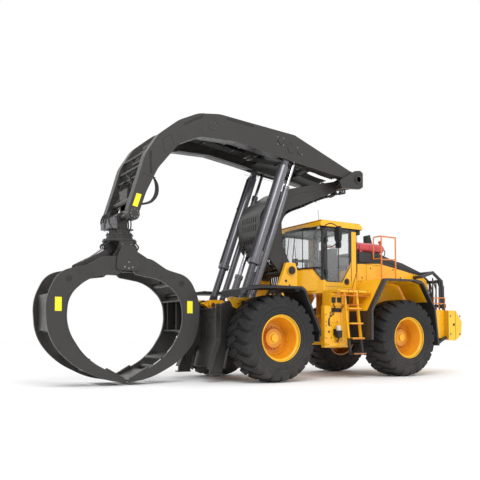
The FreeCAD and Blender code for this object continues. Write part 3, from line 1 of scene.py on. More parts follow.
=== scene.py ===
import bpy
import bmesh
import json
import math
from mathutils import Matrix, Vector


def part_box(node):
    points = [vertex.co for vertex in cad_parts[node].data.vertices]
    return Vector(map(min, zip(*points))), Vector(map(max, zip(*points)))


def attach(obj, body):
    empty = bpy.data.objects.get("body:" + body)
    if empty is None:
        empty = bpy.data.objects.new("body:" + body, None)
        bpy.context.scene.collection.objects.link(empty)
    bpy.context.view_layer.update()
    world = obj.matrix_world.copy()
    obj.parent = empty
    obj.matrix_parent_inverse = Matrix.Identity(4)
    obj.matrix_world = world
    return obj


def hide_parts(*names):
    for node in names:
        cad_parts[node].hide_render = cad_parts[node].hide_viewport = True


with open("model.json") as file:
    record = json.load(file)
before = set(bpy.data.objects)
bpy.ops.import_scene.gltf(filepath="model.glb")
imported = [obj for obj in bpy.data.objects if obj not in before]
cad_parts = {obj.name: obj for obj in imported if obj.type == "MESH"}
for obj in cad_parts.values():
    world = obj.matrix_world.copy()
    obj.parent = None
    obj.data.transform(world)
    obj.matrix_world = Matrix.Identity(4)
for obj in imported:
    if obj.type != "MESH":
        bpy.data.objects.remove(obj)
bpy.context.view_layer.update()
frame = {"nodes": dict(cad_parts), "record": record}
NODES = frame["nodes"]

# Places are written in millimetres from the articulation pin, as the part lays them out.
# The pin through the boom's tip tells how far the part was moved along X.
TIP_X, TIP_Z = 4550, 3170
pin_low, pin_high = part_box("tip_pin")
SHIFT = (pin_low[0] + pin_high[0]) / 2 - TIP_X / 1000.0

ARM_PIVOT_X, ARM_PIVOT_Z = 830, 2330
ELBOW_X, ELBOW_Z = -930, 4500
LIFT_FOOT, LIFT_HEAD = Vector((2160, 610, 1580)), Vector((930, 610, 4930))
ASSIST_FOOT, ASSIST_HEAD = Vector((1930, 610, 1580)), Vector((700, 610, 4920))
SIDES = (1, -1)
FORWARD, OUTWARD, UPWARD = Vector((1, 0, 0)), Vector((0, 1, 0)), Vector((0, 0, 1))


def at(x, y, z):
    return Vector((x / 1000.0 + SHIFT, y / 1000.0, z / 1000.0))


def name_of(side):
    return "left" if side > 0 else "right"


# ------------------------------------------------------------- camera

scene = bpy.context.scene
cam_data = bpy.data.cameras.new("camera")
cam_data.lens = 47.775
cam_data.sensor_width = 36.0
cam_data.shift_y = 0.1417
cam_data.clip_end = 300.0
camera = bpy.data.objects.new("camera", cam_data)
scene.collection.objects.link(camera)
YAW, PITCH = 0.562, 0.041
look = Vector((-math.sin(YAW) * math.cos(PITCH), -math.cos(YAW) * math.cos(PITCH),
               math.sin(PITCH)))
camera.location = at(9109, 11615, 948)
camera.rotation_euler = look.to_track_quat("-Z", "Y").to_euler()
scene.camera = camera
scene.view_settings.view_transform = "Standard"


# ------------------------------------------------------------- materials

def rgb(text):
    """A hex colour as linear values."""
    out = []
    for i in (1, 3, 5):
        c = int(text[i:i + 2], 16) / 255.0
        out.append(c / 12.92 if c <= 0.04045 else ((c + 0.055) / 1.055) ** 2.4)
    return tuple(out) + (1.0,)


def grey(v):
    return (v, v, v, 1.0)


def shade(color, k):
    return tuple(min(1.0, c * k) for c in color[:3]) + (1.0,)


class Shader:
    """A principled material under way, with the few nodes that the looks need."""

    def __init__(self, name):
        self.mat = bpy.data.materials.new(name)
        self.mat.use_nodes = True
        self.tree = self.mat.node_tree
        self.tree.nodes.clear()
        self.out = self.tree.nodes.new("ShaderNodeOutputMaterial")
        self.bsdf = self.tree.nodes.new("ShaderNodeBsdfPrincipled")
        self.tree.links.new(self.bsdf.outputs[0], self.out.inputs[0])
        self.place = self.tree.nodes.new("ShaderNodeTexCoord").outputs["Object"]

    def node(self, kind, **inputs):
        made = self.tree.nodes.new(kind)
        for key, value in inputs.items():
            self.put(made.inputs[key.replace("_", " ")], value)
        return made

    def put(self, socket, value):
        if isinstance(value, bpy.types.NodeSocket):
            self.tree.links.new(value, socket)
        else:
            socket.default_value = value

    def noise(self, scale, detail=4.0):
        return self.node("ShaderNodeTexNoise", Scale=scale, Detail=detail, Roughness=0.55,
                         Vector=self.place).outputs["Fac"]

    def ramp(self, fac, low, high, a, b):
        made = self.tree.nodes.new("ShaderNodeValToRGB")
        first, last = made.color_ramp.elements
        first.position, last.position = low, high
        first.color, last.color = a, b
        self.put(made.inputs[0], fac)
        return made.outputs[0]

    def mottle(self, grain, a, b):
        """Patches between two colours."""
        return self.ramp(self.noise(grain), 0.3, 0.7, a, b)

    def math(self, kind, a, b=0.0):
        made = self.tree.nodes.new("ShaderNodeMath")
        made.operation = kind
        self.put(made.inputs[0], a)
        self.put(made.inputs[1], b)
        made.inputs[2].default_value = 0.0
        return made.outputs[0]

    def above(self, value, place):
        """1 where a coordinate lies past a place given in metres of the frame."""
        return self.math("GREATER_THAN", value, place)

    def below(self, value, place):
        return self.math("LESS_THAN", value, place)

    def both(self, a, b):
        return self.math("MULTIPLY", a, b)

    def either(self, a, b):
        return self.math("MAXIMUM", a, b)

    def mix(self, fac, a, b):
        made = self.tree.nodes.new("ShaderNodeMix")
        made.data_type = "RGBA"
        for index, value in ((0, fac), (6, a), (7, b)):
            self.put(made.inputs[index], value)
        return made.outputs[2]

    def axes(self):
        parts = self.tree.nodes.new("ShaderNodeSeparateXYZ")
        self.put(parts.inputs[0], self.place)
        return parts.outputs

    def finish(self, color, rough, metal=0.0, bump=0.02, bump_scale=60.0, coat=0.0, spec=0.5,
               rough_vary=0.1, grain=3.0, edge=0.0, edge_size=0.006, dust=0.0):
        """Colour and uneven gloss, a fine surface, edges lightened by wear and by painted
        highlight, and road dust low down.
        """
        bsdf = self.bsdf
        normal = None
        if edge:
            soft = self.node("ShaderNodeBevel", Radius=edge_size)
            soft.samples = 4
            normal = soft.outputs[0]
            flat = self.tree.nodes.new("ShaderNodeNewGeometry")
            turn = self.tree.nodes.new("ShaderNodeVectorMath")
            turn.operation = "DOT_PRODUCT"
            self.put(turn.inputs[0], normal)
            self.put(turn.inputs[1], flat.outputs["Normal"])
            # edges are mixed towards grey: partly wear, partly painted highlight
            edge_wear_and_highlight = self.ramp(turn.outputs["Value"], 0.75, 0.97, grey(edge), grey(0.0))
            color = self.mix(edge_wear_and_highlight, color, grey(0.45))
        if dust:
            low = self.ramp(self.axes()[2], 0.0, 1.6, grey(dust), grey(0.0))
            patch = self.ramp(self.noise(5.0, 6.0), 0.35, 0.7, grey(0.25), grey(1.0))
            color = self.mix(self.both(low, patch), color, rgb("#8E857A"))
        self.put(bsdf.inputs["Base Color"], color)
        self.put(bsdf.inputs["Roughness"],
                 self.mottle(grain * 6.0, grey(max(0.02, rough - rough_vary)),
                             grey(min(1.0, rough + rough_vary))))
        for key, value in (("Metallic", metal), ("Specular IOR Level", spec),
                           ("Coat Weight", coat), ("Coat Roughness", 0.1)):
            bsdf.inputs[key].default_value = value
        if bump:
            made = self.node("ShaderNodeBump", Strength=bump, Distance=0.02,
                             Height=self.noise(bump_scale, 3.0))
            if normal:
                self.put(made.inputs["Normal"], normal)
            normal = made.outputs[0]
        if normal:
            self.put(bsdf.inputs["Normal"], normal)
        return self.mat


def coat(name, color, rough=0.4, vary=0.08, grain=3.0, **rest):
    """Paint, plastic or rubber: a mottled colour over a fine surface."""
    made = Shader(name)
    tone = made.mottle(grain, shade(color, 1.0 - vary), shade(color, 1.0 + vary))
    return made.finish(tone, rough, grain=grain, **rest)


YELLOW = "#F4B414"
BLACK = rgb("#232323")
LOOKS = {}


def paint(name, color, rough=0.4, slot=None, **rest):
    """Keeps a look. The slot argument is not used."""
    LOOKS[name] = coat(name, rgb(color), rough, **rest)


paint("body_yellow", YELLOW, 0.3, vary=0.03, coat=0.35, edge=0.05)
paint("weight_yellow", "#F1C01B", 0.33, vary=0.03, coat=0.3, edge=0.1)
paint("boom_charcoal", "#2B2927", 0.4, vary=0.07, coat=0.12, edge=0.3)
paint("hood_charcoal", "#2F2E30", 0.42, vary=0.05, edge=0.2)
paint("frame_charcoal", "#2C2A29", 0.5, vary=0.08, edge=0.2)
paint("barrel_grey", "#55545C", 0.2, vary=0.02, coat=0.6, spec=0.8, bump=0.0, rough_vary=0.02)
paint("chrome_rod", "#C9CBD0", 0.12, metal=1.0, vary=0.04, bump=0.0, rough_vary=0.04)
paint("rod_dark", "#55555A", 0.3, metal=0.7, vary=0.1, rough_vary=0.08)
paint("pin_steel", "#7E7C7A", 0.35, metal=1.0, vary=0.12)
paint("tyre_rubber", "#222223", 0.72, vary=0.14, bump=0.1, bump_scale=90.0, spec=0.35,
      edge=0.14, edge_size=0.009, dust=0.16)
paint("rail_orange", "#D9802E", 0.35, vary=0.05, coat=0.2)
paint("bottle_red", "#C4434C", 0.25, vary=0.04, coat=0.4)
paint("seat_fabric", "#2E2E31", 0.85, vary=0.15, bump=0.15, bump_scale=300.0)
paint("trim_black", "#1D1D1F", 0.45, vary=0.12, edge=0.15)
paint("engine_iron", "#55595B", 0.55, vary=0.1)
paint("fender_black", "#2C2B2C", 0.5, vary=0.08, edge=0.25, dust=0.1)
paint("hose", "#1B1B1C", 0.5, "trim_black", vary=0.12, grain=8.0, bump=0.08, bump_scale=220.0)
paint("grip", "#2B2A2A", 0.9, "trim_black", vary=0.25, grain=30.0, bump=0.5, bump_scale=400.0)
paint("grille", "#191919", 0.55, "hood_charcoal", vary=0.15)
paint("weld", "#2E2C2B", 0.5, "boom_charcoal", vary=0.15, grain=20.0, bump=0.3, bump_scale=200.0)
paint("bolt", "#8C8B88", 0.35, "pin_steel", metal=0.9, vary=0.15, grain=20.0)
paint("bolt_dark", "#4A4846", 0.35, "pin_steel", metal=0.6, vary=0.15, grain=20.0)
paint("plate_yellow", "#E9E01C", 0.4, "body_yellow", vary=0.05, grain=12.0)
paint("cap_white", "#DADAD6", 0.4, "chrome_rod", vary=0.05)
paint("lamp_clear", "#C9CDD0", 0.1, "glass_tint", vary=0.06, grain=30.0, spec=0.8)
paint("lamp_red", "#A81C1C", 0.15, "bottle_red", vary=0.08, grain=30.0, spec=0.8)
paint("lamp_amber", "#E07A16", 0.15, "rail_orange", vary=0.08, grain=30.0, spec=0.8)
paint("valve_grey", "#646467", 0.4, "engine_iron", vary=0.1, grain=10.0, edge=0.3)
paint("mirror_face", "#B9C0C6", 0.05, "chrome_rod", metal=1.0, vary=0.02, bump=0.0,
      rough_vary=0.02)
paint("seam", "#2A2216", 0.7, "trim_black", vary=0.2)


def x_of(value):
    """A place along the machine in metres of the frame."""
    return value / 1000.0 + SHIFT


def yellow_tone(made, low):
    color = rgb(YELLOW)
    return made.mottle(3.0, shade(color, low), shade(color, 1.03))


def cab_paint():
    """Yellow cab whose window posts, door head and windscreen frame are black."""
    made = Shader("cab_paint")
    x, y, z = made.axes()
    over = made.above(z, 2.142)
    wide = made.math("ABSOLUTE", y)
    side = made.both(made.above(wide, 0.728), over)
    front = made.both(made.above(x, x_of(60)), made.above(z, 2.41))
    dark = made.both(made.above(x, x_of(-705)), made.either(side, front))
    dark = made.either(dark, made.above(z, 3.272))
    inner = made.both(made.both(made.below(wide, 0.7295), over), made.above(x, x_of(-845)))
    dark = made.either(dark, made.both(inner, made.above(z, 2.42)))
    return made.finish(made.mix(dark, yellow_tone(made, 0.97), BLACK), 0.3, coat=0.3, edge=0.1)


def door_paint():
    """A black door frame over a yellow sill, with a yellow corner low at the back."""
    made = Shader("door_paint")
    x, y, z = made.axes()
    slope = made.math("MULTIPLY", made.math("SUBTRACT", x, x_of(-655)), -1.65)
    corner = made.below(z, made.math("ADD", slope, 2.515))
    yellow = made.either(corner, made.below(z, 2.112))
    return made.finish(made.mix(yellow, BLACK, yellow_tone(made, 0.97)), 0.3, coat=0.3, edge=0.1)


def rear_fender_paint():
    """Yellow arches with a black outer lip and black mudguards before and behind the wheel."""
    made = Shader("rear_fender_paint")
    x, y, z = made.axes()
    lip = made.above(made.math("ABSOLUTE", y), 1.395)
    guard_area = made.both(made.below(z, 1.46), made.above(x, x_of(-700)))
    tail_area = made.both(made.below(x, x_of(-2480)), made.below(z, 1.72))
    dark = made.either(lip, made.either(guard_area, tail_area))
    return made.finish(made.mix(dark, yellow_tone(made, 0.96), rgb("#2C2B2B")), 0.38, coat=0.2,
                       edge=0.12, dust=0.08)


def glass_material():
    """Clear panes with a faint uneven reflection."""
    made = Shader("glass_tint")
    clear = made.node("ShaderNodeBsdfTransparent", Color=(0.965, 0.975, 0.975, 1.0))
    for key, value in (("Base Color", (0.86, 0.88, 0.89, 1.0)), ("Roughness", 0.02),
                       ("Specular IOR Level", 0.9)):
        made.bsdf.inputs[key].default_value = value
    blend = made.tree.nodes.new("ShaderNodeMixShader")
    for index, value in enumerate((
            made.ramp(made.noise(1.2), 0.25, 0.75, grey(0.10), grey(0.14)),
            clear.outputs[0], made.bsdf.outputs[0])):
        made.put(blend.inputs[index], value)
    made.put(made.out.inputs[0], blend.outputs[0])
    return made.mat


def ladder_paint():
    """Yellow side plates and treads over a black lowest step."""
    made = Shader("ladder_paint")
    low = made.below(made.axes()[2], 0.86)
    return made.finish(made.mix(low, yellow_tone(made, 0.95), rgb("#252424")), 0.36, coat=0.2,
                       edge=0.15)


def weight_paint():
    """A bright counterweight whose part beside the hood gets painted shade, a darker orange-yellow.
    """
    made = Shader("weight_paint")
    # painted shade on the part ahead of -3440 mm, beside the hood
    ahead = made.above(made.axes()[0], x_of(-3440))
    tone = made.mottle(2.5, rgb("#ECBB1A"), rgb("#F5C823"))
    painted_shade_tone = made.mottle(2.5, rgb("#D0921A"), rgb("#DCA01C"))
    return made.finish(made.mix(ahead, tone, painted_shade_tone), 0.33, coat=0.3, edge=0.1)


# ------------------------------------------------------------- wheel places

AXLE, HUB_Y, HUB_Z = 1775, 1139, 868
HUB_FACE = HUB_Y + 16


def rim_paint():
    """Yellow rims whose recessed middle, inboard of the outer ring, gets painted shade in a darker
    orange.
    """
    made = Shader("rim_paint")
    x, y, z = made.axes()

    def gap(value, place):
        return made.math("SUBTRACT", value, place)

    dish_shade = made.math("MULTIPLY", gap(1.45, made.math("ABSOLUTE", y)), 30.0)
    dish_shade = made.math("MINIMUM", made.either(dish_shade, 0.0), 1.0)
    # the boss in the middle is kept out of the painted shade, as bright as the outer ring
    ahead = made.math("MINIMUM", made.math("ABSOLUTE", gap(x, x_of(AXLE))),
                      made.math("ABSOLUTE", gap(x, x_of(-AXLE))))
    above = gap(z, HUB_Z / 1000.0)
    reach = made.math("ADD", made.both(ahead, ahead), made.both(above, above))
    dish_shade = made.both(dish_shade, made.above(reach, 0.12 ** 2))
    tone = made.mottle(4.0, rgb("#F0B41A"), rgb("#F6BE24"))
    # the darker orange is painted shade in the recess
    dark = made.mottle(4.0, rgb("#D5860F"), rgb("#E29616"))
    return made.finish(made.mix(dish_shade, tone, dark), 0.36, coat=0.2, edge=0.04)


LOOKS["glass_tint"] = glass_material()
LOOKS["rim_yellow"] = rim_paint()
SPECIAL = {"cab_shell": cab_paint(), "cab_door": door_paint(),
           "rear_fenders": rear_fender_paint(), "access_ladders": ladder_paint(),
           "counterweight": weight_paint()}

slot_of = {row["node"]: row["material_slot"] for row in frame["record"]["subparts"]}
for name, obj in NODES.items():
    obj.data.materials.clear()
    obj.data.materials.append(SPECIAL.get(name, LOOKS[slot_of[name]]))


# ------------------------------------------------------------- mesh work

class Work:
    """Pieces under way on one body. Places are in the part's millimetres; side -1 mirrors them."""

    def __init__(self, body, side=1):
        self.body = body
        self.home = side
        self.clear()

    def clear(self):
        self.side = self.home
        self.verts = []
        self.faces = []

    def add(self, points, faces):
        start = len(self.verts)
        for x, y, z in points:
            self.verts.append(at(x, y * self.side, z))
        for face in faces:
            self.faces.append(tuple(start + index for index in face))

    def prism(self, plane, outline, low, high):
        """An outline in XY or YZ, given a thickness along the third axis."""
        def lift(a, b, c):
            return {"XZ": (a, c, b), "XY": (a, b, c), "YZ": (c, a, b)}[plane]
        count = len(outline)
        points = [lift(a, b, low) for a, b in outline] + [lift(a, b, high) for a, b in outline]
        faces = [tuple(range(count)), tuple(range(2 * count - 1, count - 1, -1))]
        for i in range(count):
            j = (i + 1) % count
            faces.append((i, j, count + j, count + i))
        self.add(points, faces)

    def box(self, x0, x1, y0, y1, z0, z1):
        self.prism("XY", band(x0, y0, x1, y1), z0, z1)

    def slab(self, outline, low, high):
        """A plate with its outline seen from the machine's side."""
        self.prism("XZ", outline, low, high)

    def rod(self, start, end, radius, sides=16):
        self.pipe([start, end], radius, sides)

    def disc(self, x, z, y0, y1, radius, sides):
        """A rod across the machine."""
        self.rod((x, y0, z), (x, y1, z), radius, sides)

    def post(self, x, y, z0, z1, radius, sides):
        """An upright rod."""
        self.rod((x, y, z0), (x, y, z1), radius, sides)

    def trace(self, y, points, radius, sides=6):
        """A thin bar along a line seen from the machine's side."""
        self.pipe([(x, y, z) for x, z in points], radius, sides)

    def pipe(self, points, radius, sides=10):
        """A round bar through points, closed at both ends."""
        points = [Vector(p) for p in points]
        count = len(points)
        rings = []
        faces = []
        side_way = None
        for i, point in enumerate(points):
            run = (points[min(i + 1, count - 1)] - points[max(i - 1, 0)]).normalized()
            if side_way is None:
                side_way = run.cross(helper_for(run)).normalized()
            side_way = (side_way - run * side_way.dot(run)).normalized()
            other = run.cross(side_way)
            for k in range(sides):
                turn = 2 * math.pi * k / sides
                rings.append(point + (side_way * math.cos(turn) + other * math.sin(turn)) * radius)
        for i in range(0, (count - 1) * sides, sides):
            for k in range(sides):
                n = (k + 1) % sides
                faces.append((i + k, i + n, i + sides + n, i + sides + k))
        faces.append(tuple(range(sides - 1, -1, -1)))
        faces.append(tuple((count - 1) * sides + k for k in range(sides)))
        self.add(rings, faces)

    def hose(self, points, radius):
        """A hose through points on a smooth line."""
        steps = 6
        pts = [Vector(p) for p in points]
        pts = [pts[0] * 2 - pts[1]] + pts + [pts[-1] * 2 - pts[-2]]
        line = []
        for i in range(1, len(pts) - 2):
            a, b, c, d = pts[i - 1:i + 3]
            for k in range(steps):
                t = k / steps
                line.append(0.5 * ((2 * b) + (c - a) * t + (2 * a - 5 * b + 4 * c - d) * t * t
                                   + (3 * b - a - 3 * c + d) * t * t * t))
        line.append(pts[-2])
        self.pipe(line, radius, 8)

    def bolt(self, place, way, radius, height):
        """A washer and a hexagon head that stands out along a direction."""
        place, way = Vector(place), Vector(way)
        self.rod(place, place + way * height * 0.3, radius * 1.35, 14)
        self.rod(place + way * height * 0.3, place + way * height, radius, 6)

    def bolts(self, y, places, radius, height):
        """Bolts that stand out of a plate on the machine's side."""
        for x, z in places:
            self.bolt((x, y, z), OUTWARD, radius, height)

    def lathe(self, centre, way, profile, around, loop=False):
        """A profile of (radius, distance along way) pairs turned about an axis."""
        way = Vector(way)
        u = way.cross(helper_for(way)).normalized()
        v = way.cross(u)
        count = len(profile)
        points, faces = [], []
        for i in range(around):
            turn = 2 * math.pi * i / around
            out = u * math.cos(turn) + v * math.sin(turn)
            points += [Vector(centre) + out * radius + way * reach for radius, reach in profile]
            a, b = i * count, (i + 1) % around * count
            for k in range(count if loop else count - 1):
                n = (k + 1) % count
                faces.append((a + k, b + k, b + n, a + n))
        self.add(points, faces)

    def ring(self, centre, radius, tube, around=40, sides=8):
        """A torus about a line across the machine."""
        turns = [2 * math.pi * k / sides for k in range(sides)]
        self.lathe(centre, OUTWARD, [(radius + tube * math.cos(t), tube * math.sin(t))
                                     for t in turns], around, loop=True)

    def done(self, name, look, bevel=0.0, slot=None, angle=0.6):
        """Makes the piece; a name that ends in _ gets its side. The next piece starts empty."""
        if name.endswith("_"):
            name += name_of(self.home)
        mesh = bpy.data.meshes.new(name)
        mesh.from_pydata(self.verts, [], self.faces)
        work = bmesh.new()
        work.from_mesh(mesh)
        bmesh.ops.recalc_face_normals(work, faces=work.faces)
        work.to_mesh(mesh)
        work.free()
        mesh.polygons.foreach_set("use_smooth", [True] * len(mesh.polygons))
        mesh.set_sharp_from_angle(angle=angle)
        mesh.materials.append(LOOKS[look])
        obj = bpy.data.objects.new(name, mesh)
        scene.collection.objects.link(obj)
        if bevel:
            made = obj.modifiers.new("edges", "BEVEL")
            made.width = bevel / 1000.0
            made.segments = 2
            made.limit_method = "ANGLE"
            made.angle_limit = 0.7
            made.use_clamp_overlap = True
        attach(obj, self.body)
        self.clear()
        return obj


def helper_for(run):
    """An axis that doesn't lie along a direction."""
    return Vector((0, 0, 1)) if abs(run.z) < 0.9 else Vector((1, 0, 0))


def both(body):
    """Work on the left pieces of a body, then on their mirror images."""
    return [Work(body, side) for side in SIDES]


def band(a0, b0, a1, b1):
    """A rectangle's outline between two corners."""
    return [(a0, b0), (a1, b0), (a1, b1), (a0, b1)]


def circle(x, z, reach, count, shift=0.0):
    """Evenly spaced places round a point of a plane."""
    turns = [2 * math.pi * (k + shift) / count for k in range(count)]
    return [(x + reach * math.cos(turn), z + reach * math.sin(turn)) for turn in turns]


def closed(points):
    return points + points[:1]


# ------------------------------------------------------------- tyres and wheels

LUGS = 22


def lug(work, centre, half, turn):
    """One block of the tread: it starts near the middle and sweeps out over the shoulder."""
    # across the tread: distance from the middle, low and high radius, sweep back, half width
    stations = [(-14, 800, 866, 0.0, 50), (70, 800, 866, 0.016, 54), (150, 798, 865, 0.05, 62),
                (235, 794, 860, 0.092, 72), (318, 775, 846, 0.12, 78), (364, 742, 815, 0.13, 76),
                (384, 704, 770, 0.132, 66)]
    points = []
    for across, low, high, sweep, wide in stations:
        for radius, spread in ((low, 1.12), (high, 1.0)):
            for sign in (-1, 1):
                angle = turn + sweep + sign * wide * spread / radius
                points.append((centre[0] + radius * math.sin(angle), centre[1] + half * across,
                               centre[2] + radius * math.cos(angle)))
    faces = [(0, 1, 3, 2), tuple(len(points) - k for k in (4, 2, 1, 3))]
    for a in range(0, len(points) - 4, 4):
        b = a + 4
        faces += [(a + 2, a + 3, b + 3, b + 2), (a, a + 2, b + 2, b), (a + 1, b + 1, b + 3, a + 3),
                  (a, b, b + 1, a + 1)]
    work.add(points, faces)


def tyre(where, x, y):
    centre = (x, y, HUB_Z)
    work = Work("wheel_" + where)
    profile = [(458, 330), (470, 352), (492, 364), (530, 376), (590, 386), (640, 388),
               (700, 385), (744, 372), (780, 345), (802, 305), (812, 240), (816, 120), (816, 0)]
    inner = [(radius, -out) for radius, out in reversed(profile[:-1])]
    work.lathe(centre, OUTWARD, closed(profile + inner + [(446, 0)]), 96)
    for half, shift in ((1, 0.0), (-1, 0.5)):
        for i in range(LUGS):
            lug(work, centre, half, 2 * math.pi * (i + shift) / LUGS)
        for radius, out, size in ((505, 369, 5), (560, 381, 4), (650, 387, 3)):
            work.ring((x, y + half * (out - 1), HUB_Z), radius, size, 72, 6)
    obj = work.done("tyre_" + where + "_tread", "tyre_rubber", angle=0.5)
    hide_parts("tyre_" + where)


def wheel_fittings(where, cx, side):
    """Rim rings, twenty wheel nuts, the drain plug and the valve."""
    work = Work("wheel_" + where, side)
    for radius, out, size in ((455, 356, 9), (441, 340, 7), (405, 262, 6), (318, 118, 7)):
        work.ring((cx, HUB_Y + out, HUB_Z), radius, size, 72)
    for x, z in circle(cx, HUB_Z, 352, 8, 0.5):
        work.disc(x, z, HUB_Y + 96, HUB_Y + 118, 13, 10)
    work.done("rim_rings_" + where, "rim_yellow")
    for x, z in circle(cx, HUB_Z, 225, 20):
        for low, high, radius, sides in ((0, 5, 19, 14), (5, 25, 15, 6), (25, 38, 8, 10)):
            work.disc(x, z, HUB_FACE + low, HUB_FACE + high, radius, sides)
    work.done("wheel_nuts_" + where, "rim_yellow")
    work.bolts(HUB_FACE + 8, circle(cx, HUB_Z, 152, 10), 9, 10)
    work.bolts(HUB_FACE + 92, [(cx, HUB_Z + 46)], 13, 14)
    valve = [(cx + 250, HUB_Y + 250, HUB_Z + 330), (cx + 268, HUB_Y + 330, HUB_Z + 352),
             (cx + 272, HUB_Y + 352, HUB_Z + 356)]
    work.rod(valve[0], valve[1], 8, 10)
    work.rod(valve[1], valve[2], 12, 10)
    work.done("hub_bolts_" + where, "bolt_dark")


for end, x in (("front", AXLE), ("rear", -AXLE)):
    for side in SIDES:
        where = end + "_" + name_of(side)
        tyre(where, x, HUB_Y * side)
        wheel_fittings(where, x, side)


# ------------------------------------------------------------- cab

def screen_x(y):
    """Where the bowed windscreen stands at a place across the cab."""
    return 338 if y <= 330 else 120 + (780 - y) / 450.0 * 220


def screen():
    """The windscreen's frame, its posts along the sills that drop to the doors, and wipers."""
    work = Work("rear_frame")
    for corner, front, low, high in (((150, 790), (352, 340), 3266, 3296),
                                     ((140, 785), (349, 338), 2400, 2432)):
        half = [(338, 332), (118, 775), corner, front]
        work.prism("XY", [(118, -775), (338, -332)] + half
                   + [(x, -y) for x, y in (front, corner)], low, high)
    for y in (-330, 330):
        work.post(screen_x(330) + 5, y, 2425, 3268, 9, 8)
    for work.side in SIDES:
        work.pipe([(screen_x(560) + 6, 560, 2412), (132, 770, 2146)], 12, 8)
    work.done("screen_frame", "trim_black", 2)

    # two wipers with their spindles, and the side wiper's thin arm
    work.pipe([(350, 150, 2440), (366, 140, 2470), (362, 60, 2960)], 6, 8)
    work.pipe([(356, -40, 2560), (356, 60, 3180)], 9, 6)
    work.pipe([(344, -330, 2440), (356, -320, 2480), (350, -200, 2960)], 6, 8)
    work.pipe([(352, -280, 2560), (350, -170, 3150)], 9, 6)
    work.rod((338, 150, 2440), (362, 150, 2440), 20, 12)
    work.rod((334, -330, 2440), (358, -330, 2440), 20, 12)
    work.pipe([(screen_x(640) + 14, 640, 3230), (screen_x(600) + 20, 600, 3120),
               (screen_x(640) + 20, 640, 3010)], 5, 6)
    work.done("wipers", "trim_black")


def cab_lamps():
    """Lamps at the roof's corners, and a grab bar down each front post."""
    for work in both("rear_frame"):
        work.slab([(150, 3250), (222, 3256), (222, 3322), (150, 3328)], 690, 792)
        work.slab([(-985, 3226), (-905, 3236), (-905, 3318), (-985, 3326)], 640, 760)
        work.post(190, 742, 3325, 3334, 16, 12)
        work.pipe([(96, 792, 2300), (112, 826, 2310), (150, 830, 2880), (136, 796, 2900)], 11)
        work.done("cab_lamp_cases_", "trim_black", 8)
        work.prism("YZ", band(698, 3262, 784, 3318), 221, 227)
        work.prism("YZ", band(650, 3242, 750, 3312), -992, -984)
        work.done("cab_lamps_", "lamp_clear", 2)


def roof():
    """The roof's shallow crown, the hatch over the cab, its lining and an antenna."""
    work = Work("rear_frame")
    work.box(-960, 200, -800, 800, 3456, 3470)
    work.box(-900, 60, -640, 640, 3468, 3486)
    work.done("roof_crown", "body_yellow", 8)
    work.slab(band(-985, 3322, 226, 3334), -826, 826)
    work.done("roof_lining", "trim_black", 3)
    work.post(60, 560, 3480, 3512, 18, 12)
    work.pipe([(60, 560, 3510), (72, 560, 3590), (84, 560, 3730)], 4, 6)
    work.done("antenna", "trim_black")


def cab_seams():
    """The black seal between the left rear post and the window, and the post's seam."""
    work = Work("rear_frame")
    work.trace(786, [(-868, 3320), (-860, 2380), (-706, 1960)], 5)
    work.trace(783, [(-846, 3300), (-846, 2200)], 3)
    work.done("cab_seams", "seam")


def consoles():
    """The consoles, a monitor and the lever stands seen through the glass."""
    work = Work("rear_frame")
    for low, high in ((-430, -340), (345, 420)):
        work.slab([(-560, 2360), (-180, 2380), (-180, 2450), (-560, 2430)], low, high)
    work.box(-60, -30, -560, -360, 2560, 2740)
    work.pipe([(-45, -460, 2560), (-60, -460, 2300)], 14, 8)
    for work.side in SIDES:
        work.pipe([(-220, 382, 2450), (-205, 382, 2560)], 12)
    work.done("cab_consoles", "trim_black", 12)


def door():
    """The door's lock and handle, the frame round its glass, and the hinges."""
    work = Work("cab_door")
    work.ring((-557, 787, 2130), 62, 9, 28)
    work.slab([(-600, 2090), (-514, 2090), (-500, 2170), (-585, 2178)], 780, 790)
    work.pipe([(-585, 792, 2112), (-560, 802, 2140), (-530, 792, 2160)], 9, 8)
    # the frame is followed by the window's sliding bars
    corners = closed([(-664, 3242), (10, 3242), (10, 2112), (-420, 2112), (-664, 2480)])
    for a, b in zip(corners, corners[1:]):
        work.trace(772, [a, b], 8)
    work.trace(768, [(-330, 2140), (-330, 3230)], 8)
    work.trace(766, [(-650, 2700), (-330, 2700)], 5)
    work.done("door_trim", "trim_black")
    for z in (2230, 3050):
        work.box(8, 70, 782, 800, z - 45, z + 45)
        work.bolts(800, [(26, z - 28), (26, z + 28)], 9, 8)
    work.done("door_hinge_plates", "trim_black", 3)


def mirrors():
    """Curved arms from the roof and the cab's corner carry rounded mirror housings."""
    oval = []
    for k in range(20):
        turn = 2 * math.pi * k / 20
        u, v = (math.copysign(abs(part) ** 0.5, part) for part in (math.cos(turn), math.sin(turn)))
        oval.append((92 * u, 172 * v))

    def scaled(middle, wide, tall):
        return [(1300 + u * wide, middle + v * tall) for u, v in oval]

    for work in both("rear_frame"):
        work.hose([(60, 800, 3300), (150, 900, 3330), (190, 1130, 3330), (150, 1290, 3240),
                   (140, 1300, 3160)], 12)
        work.hose([(138, 786, 2330), (142, 798, 2580), (220, 900, 2680), (270, 1030, 2800),
                   (220, 1180, 2820), (150, 1290, 2900), (140, 1300, 2960)], 11)
        work.hose([(120, 800, 3260), (240, 900, 3200), (250, 1010, 3080), (210, 1080, 3040)], 9)
        work.prism("YZ", scaled(3080, 1.0, 1.0), 112, 158)
        work.prism("YZ", scaled(3080, 0.86, 0.9), 156, 182)
        work.prism("YZ", scaled(2850, 0.8, 0.42), 112, 160)
        obj = work.done("mirror_arms_", "trim_black", 4)
        if work.side > 0:
            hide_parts("mirrors")
        work.prism("YZ", scaled(3080, 0.88, 0.92), 107, 113)
        work.prism("YZ", scaled(2850, 0.7, 0.36), 107, 113)
        work.done("mirror_faces_", "mirror_face")


# ------------------------------------------------------------- engine hood and tail

HOOD_FACE = 734


